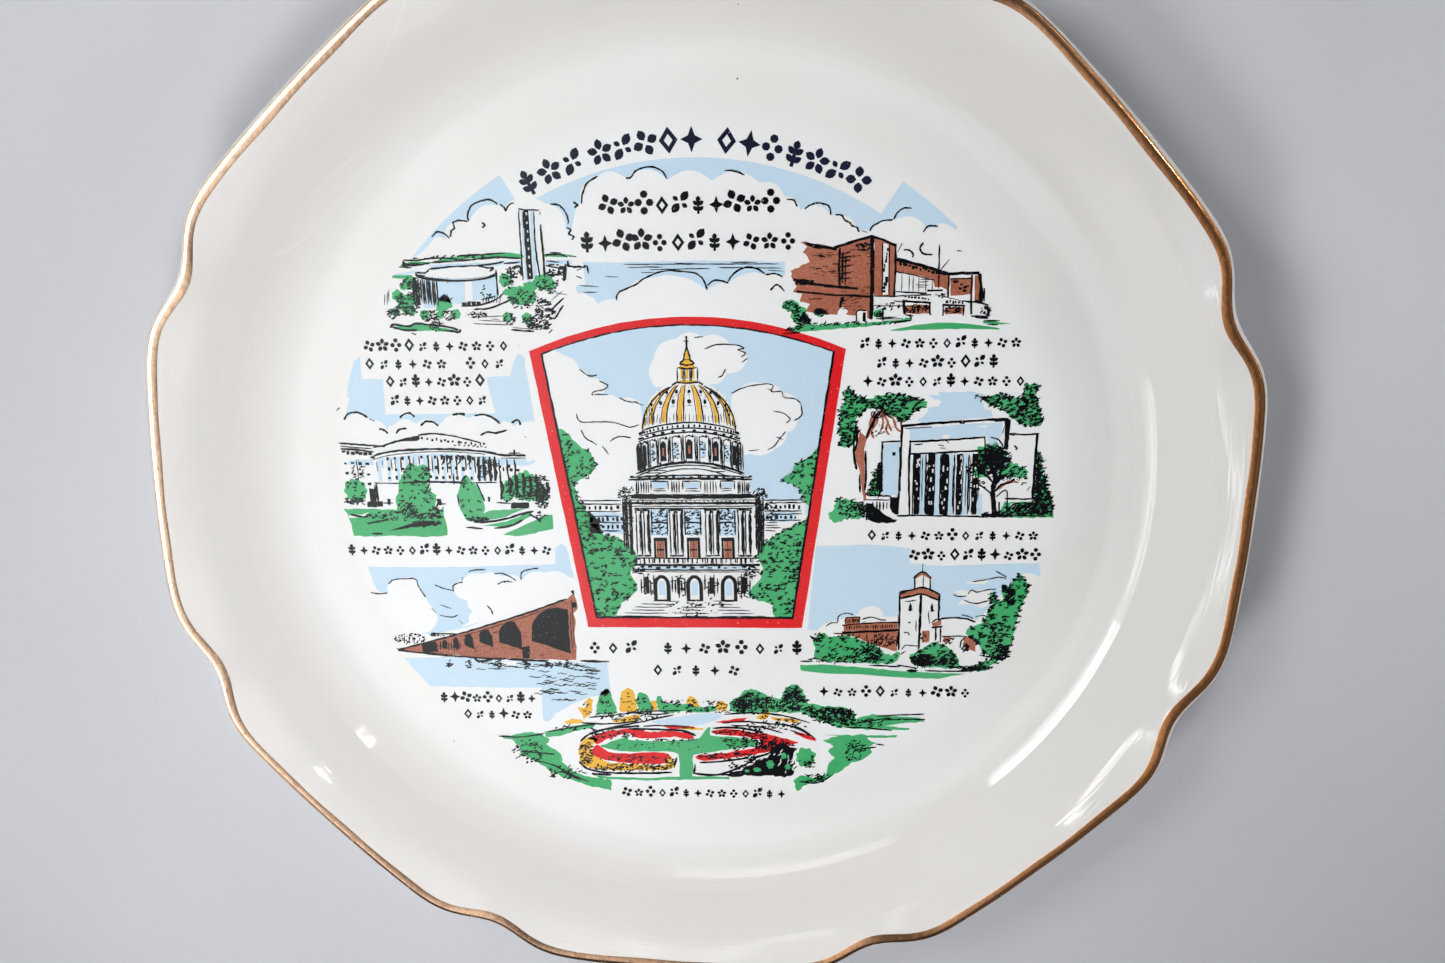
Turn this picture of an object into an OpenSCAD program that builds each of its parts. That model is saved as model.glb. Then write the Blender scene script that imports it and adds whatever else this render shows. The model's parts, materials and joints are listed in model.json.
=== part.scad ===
// Souvenir wall plate: an eight-sided glazed earthenware plate with a gilt edge and a printed decal.
// The plate lies face up on its foot ring, +Z up, the top of the decal towards +Y.
// The decal is printed enamel: one thin film for each ink colour of each little picture.

/* [Plate] */
// Radius from the centre to the middle of one side of the rim
side_r = 128.2; // [126:0.1:130]
// How deep the bracket notch between two sides dips
notch_depth = 6.6; // [5:0.1:8]
// Angle from a notch's centre to where it has mostly run out
notch_half = 5; // [4:0.1:6]
// Height of the well's floor above the table
floor_z = 6; // [5:0.1:7]
// Height of the fold where the flange turns into the verge
fold_z = 21.2; // [20:0.1:22]
// Radius of that fold
fold_r = 122; // [120:0.5:123]
// Thickness of the well's floor
floor_t = 4; // [3:0.1:4.5]
// Outer radius of the foot ring
foot_r = 78; // [74:0.5:84]
// Width of the foot ring
foot_w = 5; // [3:0.5:8]

/* [Gilding] */
// Width of the gold line on the face of the rim
gold_w = 2; // [1:0.1:3]
// How far the gold runs down the outside of the lip
gold_drop = 1.6; // [1:0.1:2.5]
// Thickness of the gold lustre as modelled
gold_t = 0.12; // [0.08:0.01:0.2]

/* [Decal] */
// Radius of the printed picture
decal_r = 86; // [84:0.5:88]
// Thickness of one printed enamel film as modelled
film_t = 0.08; // [0.05:0.01:0.15]
// How far the decal was laid turned from the plate's own axes
decal_turn = 2.9; // [-5:0.1:5]
// Width of the red frame around the middle picture
frame_w = 2.5; // [1.5:0.1:3.5]
// Half width of the middle picture at its shoulders
frame_top = 37.5; // [34:0.5:38]
// Half width of the middle picture at its foot
frame_foot = 27; // [25:0.5:30]

/* [Hidden] */
$fn = 48;
sides = 8;
half_side = 180 / sides;
side_bow = 0.75;
notch_soft = 3;
steps_per_side = 36;
// the cove runs from the well's floor up to the flange; cove_mid is where their two straight lines would meet
cove_in = [95, floor_z];
cove_mid = [105, floor_z];
cove_out = [112.5, 12.8];
verge_out = [133, 24.4];
lip_t = 4.2;
flange_t = 4.2;
well_under = floor_z - floor_t;
gold_notch = 7.9;
foot_in = foot_r - foot_w;
title_r = [78.7, 84.3];
title_from = 118;
title_to = 60.6;
band_r = 77.5;
band_a = [56, 120.5];
frame_x = -1.9;
frame_y = [-38.2, 33];
frame_rise = 8;
key_w = 0.45;
ink_w = 0.55;
lawn_h = 3;

// ---- Curves ----
function bez(a, b, c, n) =
    [for (i = [0 : n]) let (t = i / n) pow(1 - t, 2) * a + 2 * t * (1 - t) * b + t * t * c];
function polar(r, a) = [r * cos(a), r * sin(a)];
function sector(r0, r1, a0, a1, n = 24) = concat(
    [for (i = [0 : n]) polar(r1, a0 + (a1 - a0) * i / n)],
    [for (i = [n : -1 : 0]) polar(r0, a0 + (a1 - a0) * i / n)]);

// The rim is eight slightly bowed sides with a soft bracket notch between each two.
function off_notch(a) = abs(a % (2 * half_side) - half_side);
function rim_r(a, depth = notch_depth) =
    let (n = off_notch(a))
    side_r / pow(cos(half_side - sqrt(n * n + notch_soft * notch_soft)), side_bow)
    - depth * exp(-pow(n / notch_half, 2));
function rim_outline(grow = 0, depth = notch_depth) =
    let (steps = sides * steps_per_side)
    [for (i = [0 : steps - 1]) let (a = 360 * i / steps) polar(rim_r(a, depth) + grow, a)];

// ---- Body ----
function face_line(lift = 0) = [for (p = concat(
    [[0, floor_z]], bez(cove_in, cove_mid, cove_out, 6),
    [[fold_r, fold_z], verge_out])) p + [0, lift]];
function back_line() = concat(
    [[verge_out[0], verge_out[1] - lip_t], [fold_r + 2, fold_z + 0.6 - lip_t]],
    bez(cove_out - [0, flange_t], [cove_mid[0], well_under + 0.3], [cove_in[0], well_under + 0.2], 5),
    [[foot_r + 1.6, well_under], [foot_r, 0.6], [foot_r - 0.6, 0],
     [foot_in + 0.6, 0], [foot_in, 0.6], [foot_in - 1, well_under], [0, well_under]]);

module blank() {
    intersection() {
        rotate_extrude($fn = 96) polygon(concat(face_line(), back_line()));
        linear_extrude(verge_out[1] + 1) polygon(rim_outline());
    }
}

module plate_body() {
    color("ivory") blank();
}

module gold_rim_band() {
    color("goldenrod") difference() {
        intersection() {
            rotate_extrude($fn = 96) polygon([
                [fold_r, fold_z + gold_t], verge_out + [0, gold_t],
                [verge_out[0], verge_out[1] - gold_drop - 1.2], [fold_r, fold_z - gold_drop]]);
            linear_extrude(verge_out[1] + 1) polygon(rim_outline(gold_t));
        }
        linear_extrude(verge_out[1] + 1) polygon(rim_outline(-gold_w, gold_notch));
        blank();
    }
}

// ---- Printing ----
module film(c, layer = 0) {
    color(c) rotate(decal_turn) translate([0, 0, floor_z + layer * film_t])
        linear_extrude(film_t) children();
}
module box(x0, y0, x1, y1) {
    translate([x0, y0]) square([x1 - x0, y1 - y0]);
}
module clump(spots) {
    for (s = spots) translate([s[0], s[1]]) circle(s[2], $fn = 24);
}
module lozenge(x, y, w, h, turn = 0) {
    translate([x, y]) rotate(turn) polygon([[-w / 2, 0], [0, -h / 2], [w / 2, 0], [0, h / 2]]);
}
// A row of small lozenges, tall and short by turns, where a line of words would be
module ornament_row(x0, x1, y, h, pitch = 3.3) {
    n = floor((x1 - x0) / pitch);
    step = (x1 - x0) / n;
    for (i = [0 : n - 1])
        lozenge(x0 + (i + 0.5) * step, y, h * 0.55, i % 3 == 0 ? h : h * 0.7);
}
module stripes(x0, x1, y0, y1, count, w) {
    for (i = [0 : count - 1]) let (x = x0 + (x1 - x0 - w) * i / (count - 1)) box(x, y0, x + w, y1);
}
module arch(x, y, w, h) {
    box(x - w / 2, y, x + w / 2, y + h - w / 2);
    translate([x, y + h - w / 2]) circle(w / 2, $fn = 24);
}

module title_ornaments() {
    count = 16;
    mid = (title_r[0] + title_r[1]) / 2;
    tall = title_r[1] - title_r[0];
    film("midnightblue") for (i = [0 : count]) let (a = title_from + (title_to - title_from) * i / count)
        rotate(a) lozenge(mid, 0, i % 2 == 0 ? tall : tall * 0.6, tall * 0.42);
}
module name_ornaments() {
    film("black") {
        ornament_row(-20, 19, 67.3, 4.6, 3.5);
        ornament_row(-25, 23, 58.7, 4.2, 3.5);
    }
}
module caption_ornaments() {
    film("black") {
        ornament_row(-79, -45, 34.7, 3);
        ornament_row(-79, -47, 30.5, 3);
        ornament_row(-75, -51, 25.8, 3);
        ornament_row(-75, -52, 21.3, 3);
        ornament_row(39, 75, 34.2, 3);
        ornament_row(43, 70, 29.5, 3);
        ornament_row(40, 76, 25, 3);
        ornament_row(-84, -38, -17.3, 3);
        ornament_row(41, 82, -13.3, 3);
        ornament_row(52, 81, -18.6, 3);
        ornament_row(-68, -44, -58, 3);
        ornament_row(-63, -46, -63, 3);
        ornament_row(30, 66, -55.7, 3);
        ornament_row(-20, 18, -84, 3);
        ornament_row(-28, 24.5, -43.9, 4, 3.6);
        ornament_row(-12, 8, -50, 4, 3.6);
    }
}

// ---- Sky above the pictures ----
module title_band() {
    polygon(sector(band_r, decal_r + 1, band_a[0], band_a[1]));
}
module name_cloud() {
    clump([[-24, 62, 6], [-16, 69, 6.5], [-5, 71, 6.5], [7, 71, 6.5], [17, 68, 6.5], [22, 61, 6]]);
    box(-28, 54.5, 26, 68);
}
module low_cloud() {
    clump([[-16, 44, 5], [-8, 45, 5.5], [1, 46, 5], [9, 44, 5.5], [17, 43.5, 4.5]]);
}
module crown_sky() {
    film("lightblue") difference() {
        intersection() {
            circle(decal_r, $fn = 96);
            box(-62, 42, 62, 87);
        }
        title_band();
        name_cloud();
        low_cloud();
        clump([[-56, 58, 7], [-46, 63, 7], [-39, 64, 4], [-50, 55, 8]]);
        clump([[34, 63, 7], [44, 61, 7], [54, 57, 6]]);
        box(-64, 40, -25.5, 57);
        box(20.5, 40, 70, 56);
        box(-42, 50, -32, 68.5);
    }
}
module crown_cloud_lines() {
    film("black") for (s = [[-16, 69, 95], [-5, 71, 75], [7, 71, 60], [17, 68, 40]])
        translate([s[0], s[1]]) polygon(sector(5.4, 5.4 + ink_w, s[2] - 40, s[2] + 40, 12));
}

// ---- Middle picture: a domed hall in a red frame ----
function frame_outline(inset) =
    let (top = frame_top - inset, foot = frame_foot - inset,
         y0 = frame_y[0] + inset, y1 = frame_y[1] - inset / 2)
    concat([[frame_x - foot, y0], [frame_x + foot, y0]],
        bez([frame_x + top, y1], [frame_x, y1 + 2 * frame_rise - inset], [frame_x - top, y1], 16));
module frame_ring(inset, w) {
    difference() {
        polygon(frame_outline(inset));
        polygon(frame_outline(inset + w));
    }
}
module panel_frame() {
    film("crimson") frame_ring(0, frame_w);
}
module panel_keyline() {
    film("black") frame_ring(frame_w, key_w);
}
module panel_inside() {
    polygon(frame_outline(frame_w + key_w));
}
module hall_shape() {
    polygon([[-20, -36], [17, -36], [17, -5], [12.5, -5], [12.5, 3], [11, 15],
        [7, 22], [1.6, 25.5], [1.2, 31], [-1.5, 36.3], [-4.2, 31], [-4.6, 25.5],
        [-10, 22], [-14, 15], [-15.5, 3], [-15.5, -5], [-20, -5]]);
}
module panel_wood() {
    clump([[-34, 8, 6], [-31, -2, 7], [-28, -12, 7], [-24, -22, 7], [-25, -31, 7]]);
    clump([[31, 7, 5], [29, -3, 7], [25, -12, 7], [21, -22, 7], [20, -31, 7]]);
}
module panel_sky() {
    film("lightblue") difference() {
        panel_inside();
        hall_shape();
        panel_wood();
        clump([[-27, 22, 5], [-20, 20, 6], [-14, 26, 4]]);
        clump([[16, 28, 4], [21, 20, 6], [25, 14, 5]]);
        box(-31, -36, 30, -30);
    }
}
module panel_trees() {
    film("mediumseagreen") intersection() {
        panel_inside();
        difference() {
            panel_wood();
            hall_shape();
        }
    }
}
module dome_ribs() {
    film("goldenrod") {
        for (i = [-2 : 2]) translate([frame_x + i * 4.2, 15.6]) rotate(i * 9)
            polygon([[-0.7, 0], [0.7, 0], [0.4, 7.5 - abs(i)], [-0.4, 7.5 - abs(i)]]);
        box(frame_x - 1.6, 26, frame_x + 1.6, 29.5);
    }
}
module dome_hall_panes() {
    film("lightsteelblue") {
        stripes(-12.8, 9, 5, 11.5, 7, 1.2);
        stripes(-13.4, 9.8, -12.4, -7, 5, 2.2);
        for (x = [-11, -2, 7]) arch(x, -28.5, 2.6, 5);
    }
}
module dome_hall_doors() {
    film("sienna") for (x = [-7.05, -1.8, 3.45]) arch(x, -18.4, 2.2, 5.2);
}
module dome_hall_lines() {
    film("black") {
        box(-13.6, 13.4, 9.8, 14.1);
        box(-14.8, 2.2, 11, 3);
        box(-18, -5.8, 14.2, -5.05);
        box(-18, -20.2, 14.2, -19.4);
        stripes(-15.4, 11.6, -18.6, -6, 6, ink_w);
        for (i = [0 : 3]) box(-13 - i, -31.2 - i * 1.2, 9.2 + i, -30.8 - i * 1.2);
        box(frame_x - 0.3, 31, frame_x + 0.3, 35.5);
    }
}

// ---- Upper left: a drum-shaped hall and a tower ----
module drum_hall_panes() {
    film("lightsteelblue") {
        stripes(-64, -46.6, 44.6, 50.6, 7, 1.5);
        box(-38.4, 50.5, -36.9, 66.5);
    }
}
module drum_hall_lines() {
    film("black") {
        box(-65, 51.2, -45.6, 51.9);
        box(-64.4, 43.4, -46.2, 44);
        box(-36.4, 50, -34.9, 67);
        box(-74, 52.6, -66, 53.1);
        box(-44.5, 52.4, -40, 53);
    }
}
module drum_hall_trees() {
    film("mediumseagreen")
        for (s = [[-70, 44], [-73, 40.5], [-62, 39.6], [-52, 40], [-43, 43.5], [-38, 46], [-33, 44], [-40, 39.5]])
            translate(s) clump([[0, 0, 2.2], [2, 1, 1.6], [-1.8, 1, 1.5]]);
}

// ---- Upper right: a brick hall ----
module brick_hall_bush() {
    clump([[28, 41.5, 2.8], [31.5, 40.3, 2.2]]);
}
module brick_hall_walls() {
    film("sienna") difference() {
        union() {
            polygon([[23, 40], [41, 39], [41, 52], [23, 56]]);
            polygon([[41.6, 39], [50, 39], [50, 57], [41.6, 58.9]]);
            polygon([[50, 43.5], [66, 42.5], [66, 49], [50, 52.5]]);
        }
        brick_hall_bush();
        box(51.5, 47.2, 65, 48);
        box(23.5, 46.4, 40.5, 47);
    }
}
module brick_hall_lines() {
    film("black") {
        stripes(51, 65.4, 39.4, 42, 6, ink_w);
        box(41.05, 39, 41.55, 58);
        box(50, 38.6, 67, 39.1);
        box(51.5, 47.4, 65, 47.8);
    }
}
module brick_hall_lawn() {
    film("mediumseagreen") {
        box(29, 36.1, 71, 38.1);
        brick_hall_bush();
    }
}

// ---- Left: a crescent-shaped colonnade ----
module crescent_hall_sky() {
    film("lightblue") difference() {
        intersection() {
            circle(decal_r, $fn = 96);
            box(-85, 12, -40, 31);
        }
        box(-80.5, 19, -44, 37);
        box(-76.5, 14, -50, 20);
        clump([[-84, 15, 4], [-78, 16, 4], [-48, 14, 5], [-42, 16, 5]]);
        box(-86, 12, -38, 13);
    }
}
module crescent_hall_lines() {
    film("black") {
        stripes(-84, -39, 3.6, 9, 18, ink_w);
        box(-84.5, 9.4, -38.5, 10.1);
        box(-78, 11, -46, 11.6);
    }
}
module crescent_hall_trees() {
    film("mediumseagreen") {
        clump([[-80, -4, 3.2], [-65.5, -2, 4], [-66, -7, 4.4], [-52, -3, 3], [-42, -2, 3.4]]);
        box(-84, -13, -38, -13 + lawn_h);
    }
}

// ---- Right: a hall with a portico ----
module portico_hall_sky() {
    film("lightblue") {
        box(52, 17.5, 66, 20);
        box(76, 17.5, 80.5, 20);
    }
}
module portico_hall_lines() {
    film("black") {
        stripes(53, 66, -5.5, 9, 6, 1.3);
        box(49, 12, 74, 12.6);
        box(49, -8, 74, -7.2);
        clump([[72, 3, 2.6], [76, 0, 3], [72, -3, 2.4]]);
    }
}
module portico_hall_trees() {
    film("mediumseagreen") {
        clump([[39, 20, 3.8], [44, 21.5, 3], [48, 21, 2.2]]);
        clump([[72, 20.5, 2.2], [77, 14, 2.6]]);
        clump([[34.5, -5, 3.4], [39, -5.5, 3]]);
        box(62, -10.5, 80, -9.5);
    }
}
module portico_hall_trunk() {
    film("sienna") polygon([[40, -1], [43.4, -1], [42.6, 7], [46.5, 15], [44.4, 16], [41, 9.5], [37, 15], [36, 14], [39.6, 7]]);
}

// ---- Lower left: a bridge over a river ----
module bridge_deck() {
    polygon([[-78, -45], [-56, -38.5], [-31, -29], [-31, -46], [-56, -45.6]]);
}
module bridge_arches() {
    for (s = [[-37, 5.4], [-46, 4.4], [-54, 3.2], [-61, 2.2]])
        translate([s[0], -45.9]) circle(s[1], $fn = 32);
}
module bridge_spans() {
    film("sienna") difference() {
        bridge_deck();
        bridge_arches();
    }
}
module bridge_lines() {
    film("black") intersection() {
        difference() {
            bridge_arches();
            translate([0.8, -0.8]) bridge_arches();
        }
        box(-78, -45.4, -31, -30);
    }
}
module river_water() {
    film("lightblue") {
        difference() {
            intersection() {
                circle(decal_r, $fn = 96);
                box(-82, -31, -32.5, -20.5);
            }
            clump([[-56, -31, 6], [-47, -28, 6], [-40, -30, 5], [-64, -31, 4]]);
            translate([0, 0.4]) bridge_deck();
        }
        box(-70, -50, -29, -46.6);
        box(-66, -55, -42, -51);
    }
}

// ---- Lower right: a hall with a tower ----
module tower_hall_sky() {
    film("lightblue") difference() {
        box(34, -33, 72, -21.5);
        box(48.5, -45, 61.5, -20);
        clump([[66, -26, 5], [72, -28, 5], [76, -26, 4]]);
    }
}
module tower_hall_roofs() {
    film("sienna") {
        polygon([[31, -38], [48, -38], [48, -36], [36, -33.6]]);
        polygon([[50, -25], [60, -25], [58, -23], [52, -23]]);
        polygon([[62, -38], [72, -40], [70, -36], [62, -35]]);
        box(53.6, -31, 56.4, -28);
    }
}
module tower_hall_lines() {
    film("black") {
        box(50.2, -44, 50.8, -25.6);
        box(59.2, -44, 59.8, -25.6);
        stripes(33, 47.5, -42, -39, 6, 0.9);
        box(54.6, -22.6, 55.4, -20.4);
    }
}
module tower_hall_trees() {
    film("mediumseagreen") {
        clump([[79, -28, 3], [77, -33, 3.2], [75, -38.5, 3.2], [71.5, -44, 3], [66, -45, 3]]);
        clump([[33, -46.4, 3], [40, -47, 3], [47, -47.5, 2.8], [54, -47.6, 2.8], [60, -47, 3]]);
    }
}

// ---- Bottom: a flower garden ----
bed = [-6, -72];
bed_stretch = 0.35;
module bed_ring(r0, r1, a0, a1) {
    translate(bed) polygon([for (p = sector(r0, r1, a0, a1)) [p[0], p[1] * bed_stretch]]);
}
module garden_greens() {
    film("mediumseagreen") {
        translate(bed) polygon([for (a = [0 : 10 : 350]) [17 * cos(a), 17 * bed_stretch * sin(a)]]);
        intersection() {
            circle(decal_r, $fn = 96);
            union() {
                polygon([[-55, -66], [-38, -65], [-36, -74], [-24, -81.6], [-30, -81.6]]);
                polygon([[20, -67], [50, -66], [44, -74], [22, -74]]);
            }
        }
        clump([[-30, -60, 2.6], [-22, -58.8, 2.8], [12, -59, 2.8], [20, -60, 3], [28, -61, 2.6]]);
    }
}
module garden_red_beds() {
    film("crimson") {
        bed_ring(20, 25, -40, 150);
        bed_ring(20, 25, 165, 200);
    }
}
module garden_yellow_beds() {
    film("gold") {
        bed_ring(20, 25, 204, 300);
        clump([[-15.6, -58, 2.4], [-36, -61, 2], [5, -59, 2]]);
    }
}
module garden_lines() {
    film("black") {
        clump([[24, -79.5, 3], [18, -80.5, 2.2]]);
        bed_ring(27, 27.8, 15, 70);
        bed_ring(17.6, 18.2, 190, 350);
    }
}

plate_body();
gold_rim_band();
title_ornaments();
name_ornaments();
caption_ornaments();
crown_sky();
crown_cloud_lines();
panel_frame();
panel_keyline();
panel_sky();
panel_trees();
dome_ribs();
dome_hall_panes();
dome_hall_doors();
dome_hall_lines();
drum_hall_panes();
drum_hall_lines();
drum_hall_trees();
brick_hall_walls();
brick_hall_lines();
brick_hall_lawn();
crescent_hall_sky();
crescent_hall_lines();
crescent_hall_trees();
portico_hall_sky();
portico_hall_lines();
portico_hall_trees();
portico_hall_trunk();
bridge_spans();
bridge_lines();
river_water();
tower_hall_sky();
tower_hall_roofs();
tower_hall_lines();
tower_hall_trees();
garden_greens();
garden_red_beds();
garden_yellow_beds();
garden_lines();
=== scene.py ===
# Souvenir plate: the glazed body, its gilt edge and the printed decal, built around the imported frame.
import json
import math
import random

import bpy
from mathutils import Matrix, Vector
from mathutils.geometry import delaunay_2d_cdt


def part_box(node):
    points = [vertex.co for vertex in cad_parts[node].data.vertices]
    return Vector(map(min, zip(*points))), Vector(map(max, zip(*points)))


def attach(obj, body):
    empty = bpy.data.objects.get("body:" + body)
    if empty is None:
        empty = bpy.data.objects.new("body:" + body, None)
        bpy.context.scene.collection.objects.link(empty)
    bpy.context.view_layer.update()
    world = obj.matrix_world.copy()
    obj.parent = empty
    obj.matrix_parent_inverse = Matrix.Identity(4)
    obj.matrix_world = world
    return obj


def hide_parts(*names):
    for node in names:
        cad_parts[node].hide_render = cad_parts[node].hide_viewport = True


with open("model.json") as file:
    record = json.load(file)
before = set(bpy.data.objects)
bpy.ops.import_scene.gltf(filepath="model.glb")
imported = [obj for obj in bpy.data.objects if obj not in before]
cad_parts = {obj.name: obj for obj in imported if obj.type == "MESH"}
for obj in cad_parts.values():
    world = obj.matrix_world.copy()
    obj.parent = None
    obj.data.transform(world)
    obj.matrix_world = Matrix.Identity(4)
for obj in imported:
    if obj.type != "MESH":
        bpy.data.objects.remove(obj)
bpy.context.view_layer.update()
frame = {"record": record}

MM = 0.001
SEED = 7
rng = random.Random(SEED)
GILT = bpy.data.collections.new("gilt")

# ---- Driving sizes, in millimetres ----
SIDES = 8
HALF_SIDE = 180 / SIDES
SIDE_R = 128.2          # centre to the middle of a side
SIDE_BOW = 0.75
NOTCH_SOFT = 3
NOTCH_HALF = 5
NOTCH_DEPTH = 6.6
GOLD_NOTCH = 7.5        # the gilder's line dips deeper into a notch than the lip does
FLOOR_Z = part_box("panel_frame")[0][2] / MM
COVE = ((95.0, FLOOR_Z), (105.0, FLOOR_Z), (112.5, 12.8))
FOLD = (120.3, 20.1)
FOLD_SOFT = 2.2
LIP_Z = 23.3
LIP_T = 3.6
LIP_START = 98        # the angle at which the lip's round takes over from the verge
VERGE_IN = 1.7
# radius, height and width of each faint ridge
RIDGES = ((97.6, 0.05, 1.0), (102.6, 0.07, 0.9), (104.6, 0.05, 0.8), (107.8, 0.04, 0.6))
VERGE_Z = LIP_Z - 0.25
FOOT_R = 78
FOOT_W = 5
DECAL_TURN = math.radians(2.9)
AROUND = 720


# ---- Camera, light and floor ----
def add_camera():
    place = Vector((0.0209, 0.1036, 0.3239))
    aim = Vector((0.0067, 0.0062, 0.0230))
    turn = Vector((-0.030, 1, 0))
    ahead = (aim - place).normalized()
    right = ahead.cross(turn).normalized()
    up = right.cross(ahead)
    data = bpy.data.cameras.new("camera")
    data.sensor_width = 36
    data.lens = 34.3
    data.clip_start = 0.01
    cam = bpy.data.objects.new("camera", data)
    cam.matrix_world = Matrix.Translation(place) @ Matrix((right, up, -ahead)).transposed().to_4x4()
    bpy.context.scene.collection.objects.link(cam)
    bpy.context.scene.camera = cam


def area_light(name, place, size, watts, colour=(1, 1, 1), aim=(0, 0, 0.01)):
    data = bpy.data.lights.new(name, "AREA")
    data.shape = "RECTANGLE"
    data.size, data.size_y = size
    data.energy = watts
    data.color = colour
    lamp = bpy.data.objects.new(name, data)
    lamp.location = place
    lamp.rotation_euler = (Vector(aim) - Vector(place)).to_track_quat("-Z", "Y").to_euler()
    bpy.context.scene.collection.objects.link(lamp)
    return lamp


def along(x, y, z, distance):
    return Vector((x, y, z)).normalized() * distance


def strip_light(name, start, stop, distance, width, watts):
    """A long soft window, seen from the plate between two directions."""
    a, b = (Vector(v).normalized() * distance for v in (start, stop))
    lamp = area_light(name, (a + b) / 2, (width, (b - a).length), watts, (0.98, 0.99, 1))
    away = ((a + b) / 2).normalized()
    long_way = (b - a).normalized()
    lamp.rotation_euler = Matrix((long_way.cross(away), long_way, away)).transposed().to_euler()
    return lamp


WINDOW_AWAY = 1.2     # metres from the plate
BULB_AWAY = 1.6
BULB = (0.026, 0.026)


def add_studio():
    # the windows and bulbs only show in the gloss; the four fills only light the colour
    shines = (strip_light("window", (-0.605, -0.16, 0.77), (-0.49, 0.12, 0.855), WINDOW_AWAY, 0.10, 1.7),
              strip_light("window_far", (-0.57, -0.47, 0.68), (-0.61, -0.18, 0.76), WINDOW_AWAY, 0.075,
                          0.52),
              strip_light("window_near", (-0.36, 0.26, 0.89), (-0.03, 0.35, 0.93), WINDOW_AWAY, 0.09, 0.50),
              area_light("bulb_a", along(0.5738, 0.2546, 0.7805, BULB_AWAY), BULB, 0.7),
              area_light("bulb_b", along(0.5682, 0.2484, 0.7885, BULB_AWAY), BULB, 0.7))
    # three more that only the gilding mirrors: a pale wall on the left, the ceiling and a lamp on the right
    gilt = (strip_light("gilt_wall", (-0.42, 0.42, 0.80), (-0.70, -0.46, 0.55), WINDOW_AWAY, 0.75, 9.0),
            area_light("gilt_ceiling", (0.25, -0.10, 1.3), (1.8, 1.8), 0.95),
            strip_light("gilt_lamp", (0.90, 0.05, 0.44), (0.55, 0.62, 0.555), WINDOW_AWAY, 0.13, 0.75))
    for lamp in gilt:
        lamp.light_linking.receiver_collection = GILT
    for lamp in shines + gilt:
        lamp.visible_diffuse = lamp.visible_camera = False
    fills = (((-0.11, -0.18, 0.33), 0.80), ((-0.16, 0.16, 0.33), 0.58),
             ((-0.45, 0.25, 0.33), 0.22), ((0.45, 0.16, 0.21), 0.74))
    for n, (place, watts) in enumerate(fills):
        lamp = area_light(f"fill_{n}", place, (0.12, 0.12), watts, (1, 0.995, 0.985))
        lamp.visible_glossy = lamp.visible_camera = False
    add_world()


def add_world():
    """A dim even room, with a broad glow up to the left that only polished surfaces mirror."""
    world = bpy.data.worlds.new("studio")
    world.use_nodes = True
    nodes, links = world.node_tree.nodes, world.node_tree.links

    def spread(value, low, high, most):
        made = nodes.new("ShaderNodeMapRange")
        made.interpolation_type = "SMOOTHERSTEP"
        links.new(value, made.inputs["Value"])
        for key, number in (("From Min", low), ("From Max", high), ("To Max", most)):
            made.inputs[key].default_value = number
        return made.outputs[0]

    def maths(what, a, b):
        made = nodes.new("ShaderNodeMath")
        made.operation = what
        for socket, value in zip(made.inputs, (a, b)):
            if isinstance(value, float):
                socket.default_value = value
            else:
                links.new(value, socket)
        return made.outputs[0]

    way = nodes.new("ShaderNodeTexCoord").outputs["Generated"]
    facing = nodes.new("ShaderNodeVectorMath")
    facing.operation = "DOT_PRODUCT"
    links.new(way, facing.inputs[0])
    facing.inputs[1].default_value = Vector((-0.40, -0.33, 0.84)).normalized()
    split = nodes.new("ShaderNodeSeparateXYZ")
    links.new(way, split.inputs[0])
    patch = spread(facing.outputs["Value"], 0.88, 1.0, 1.25)
    left = spread(split.outputs["X"], -0.45, -0.70, 0.9)
    right = spread(split.outputs["X"], 0.20, 0.45, 0.15)
    side = maths("ADD", left, right)
    gloss = nodes.new("ShaderNodeLightPath").outputs["Is Glossy Ray"]
    glow = maths("MULTIPLY", maths("ADD", patch, side), gloss)
    back = nodes["Background"]
    links.new(maths("ADD", glow, 0.07), back.inputs["Strength"])
    back.inputs["Color"].default_value = (0.93, 0.97, 1, 1)
    bpy.context.scene.world = world
    bpy.context.scene.view_settings.view_transform = "Standard"


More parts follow.
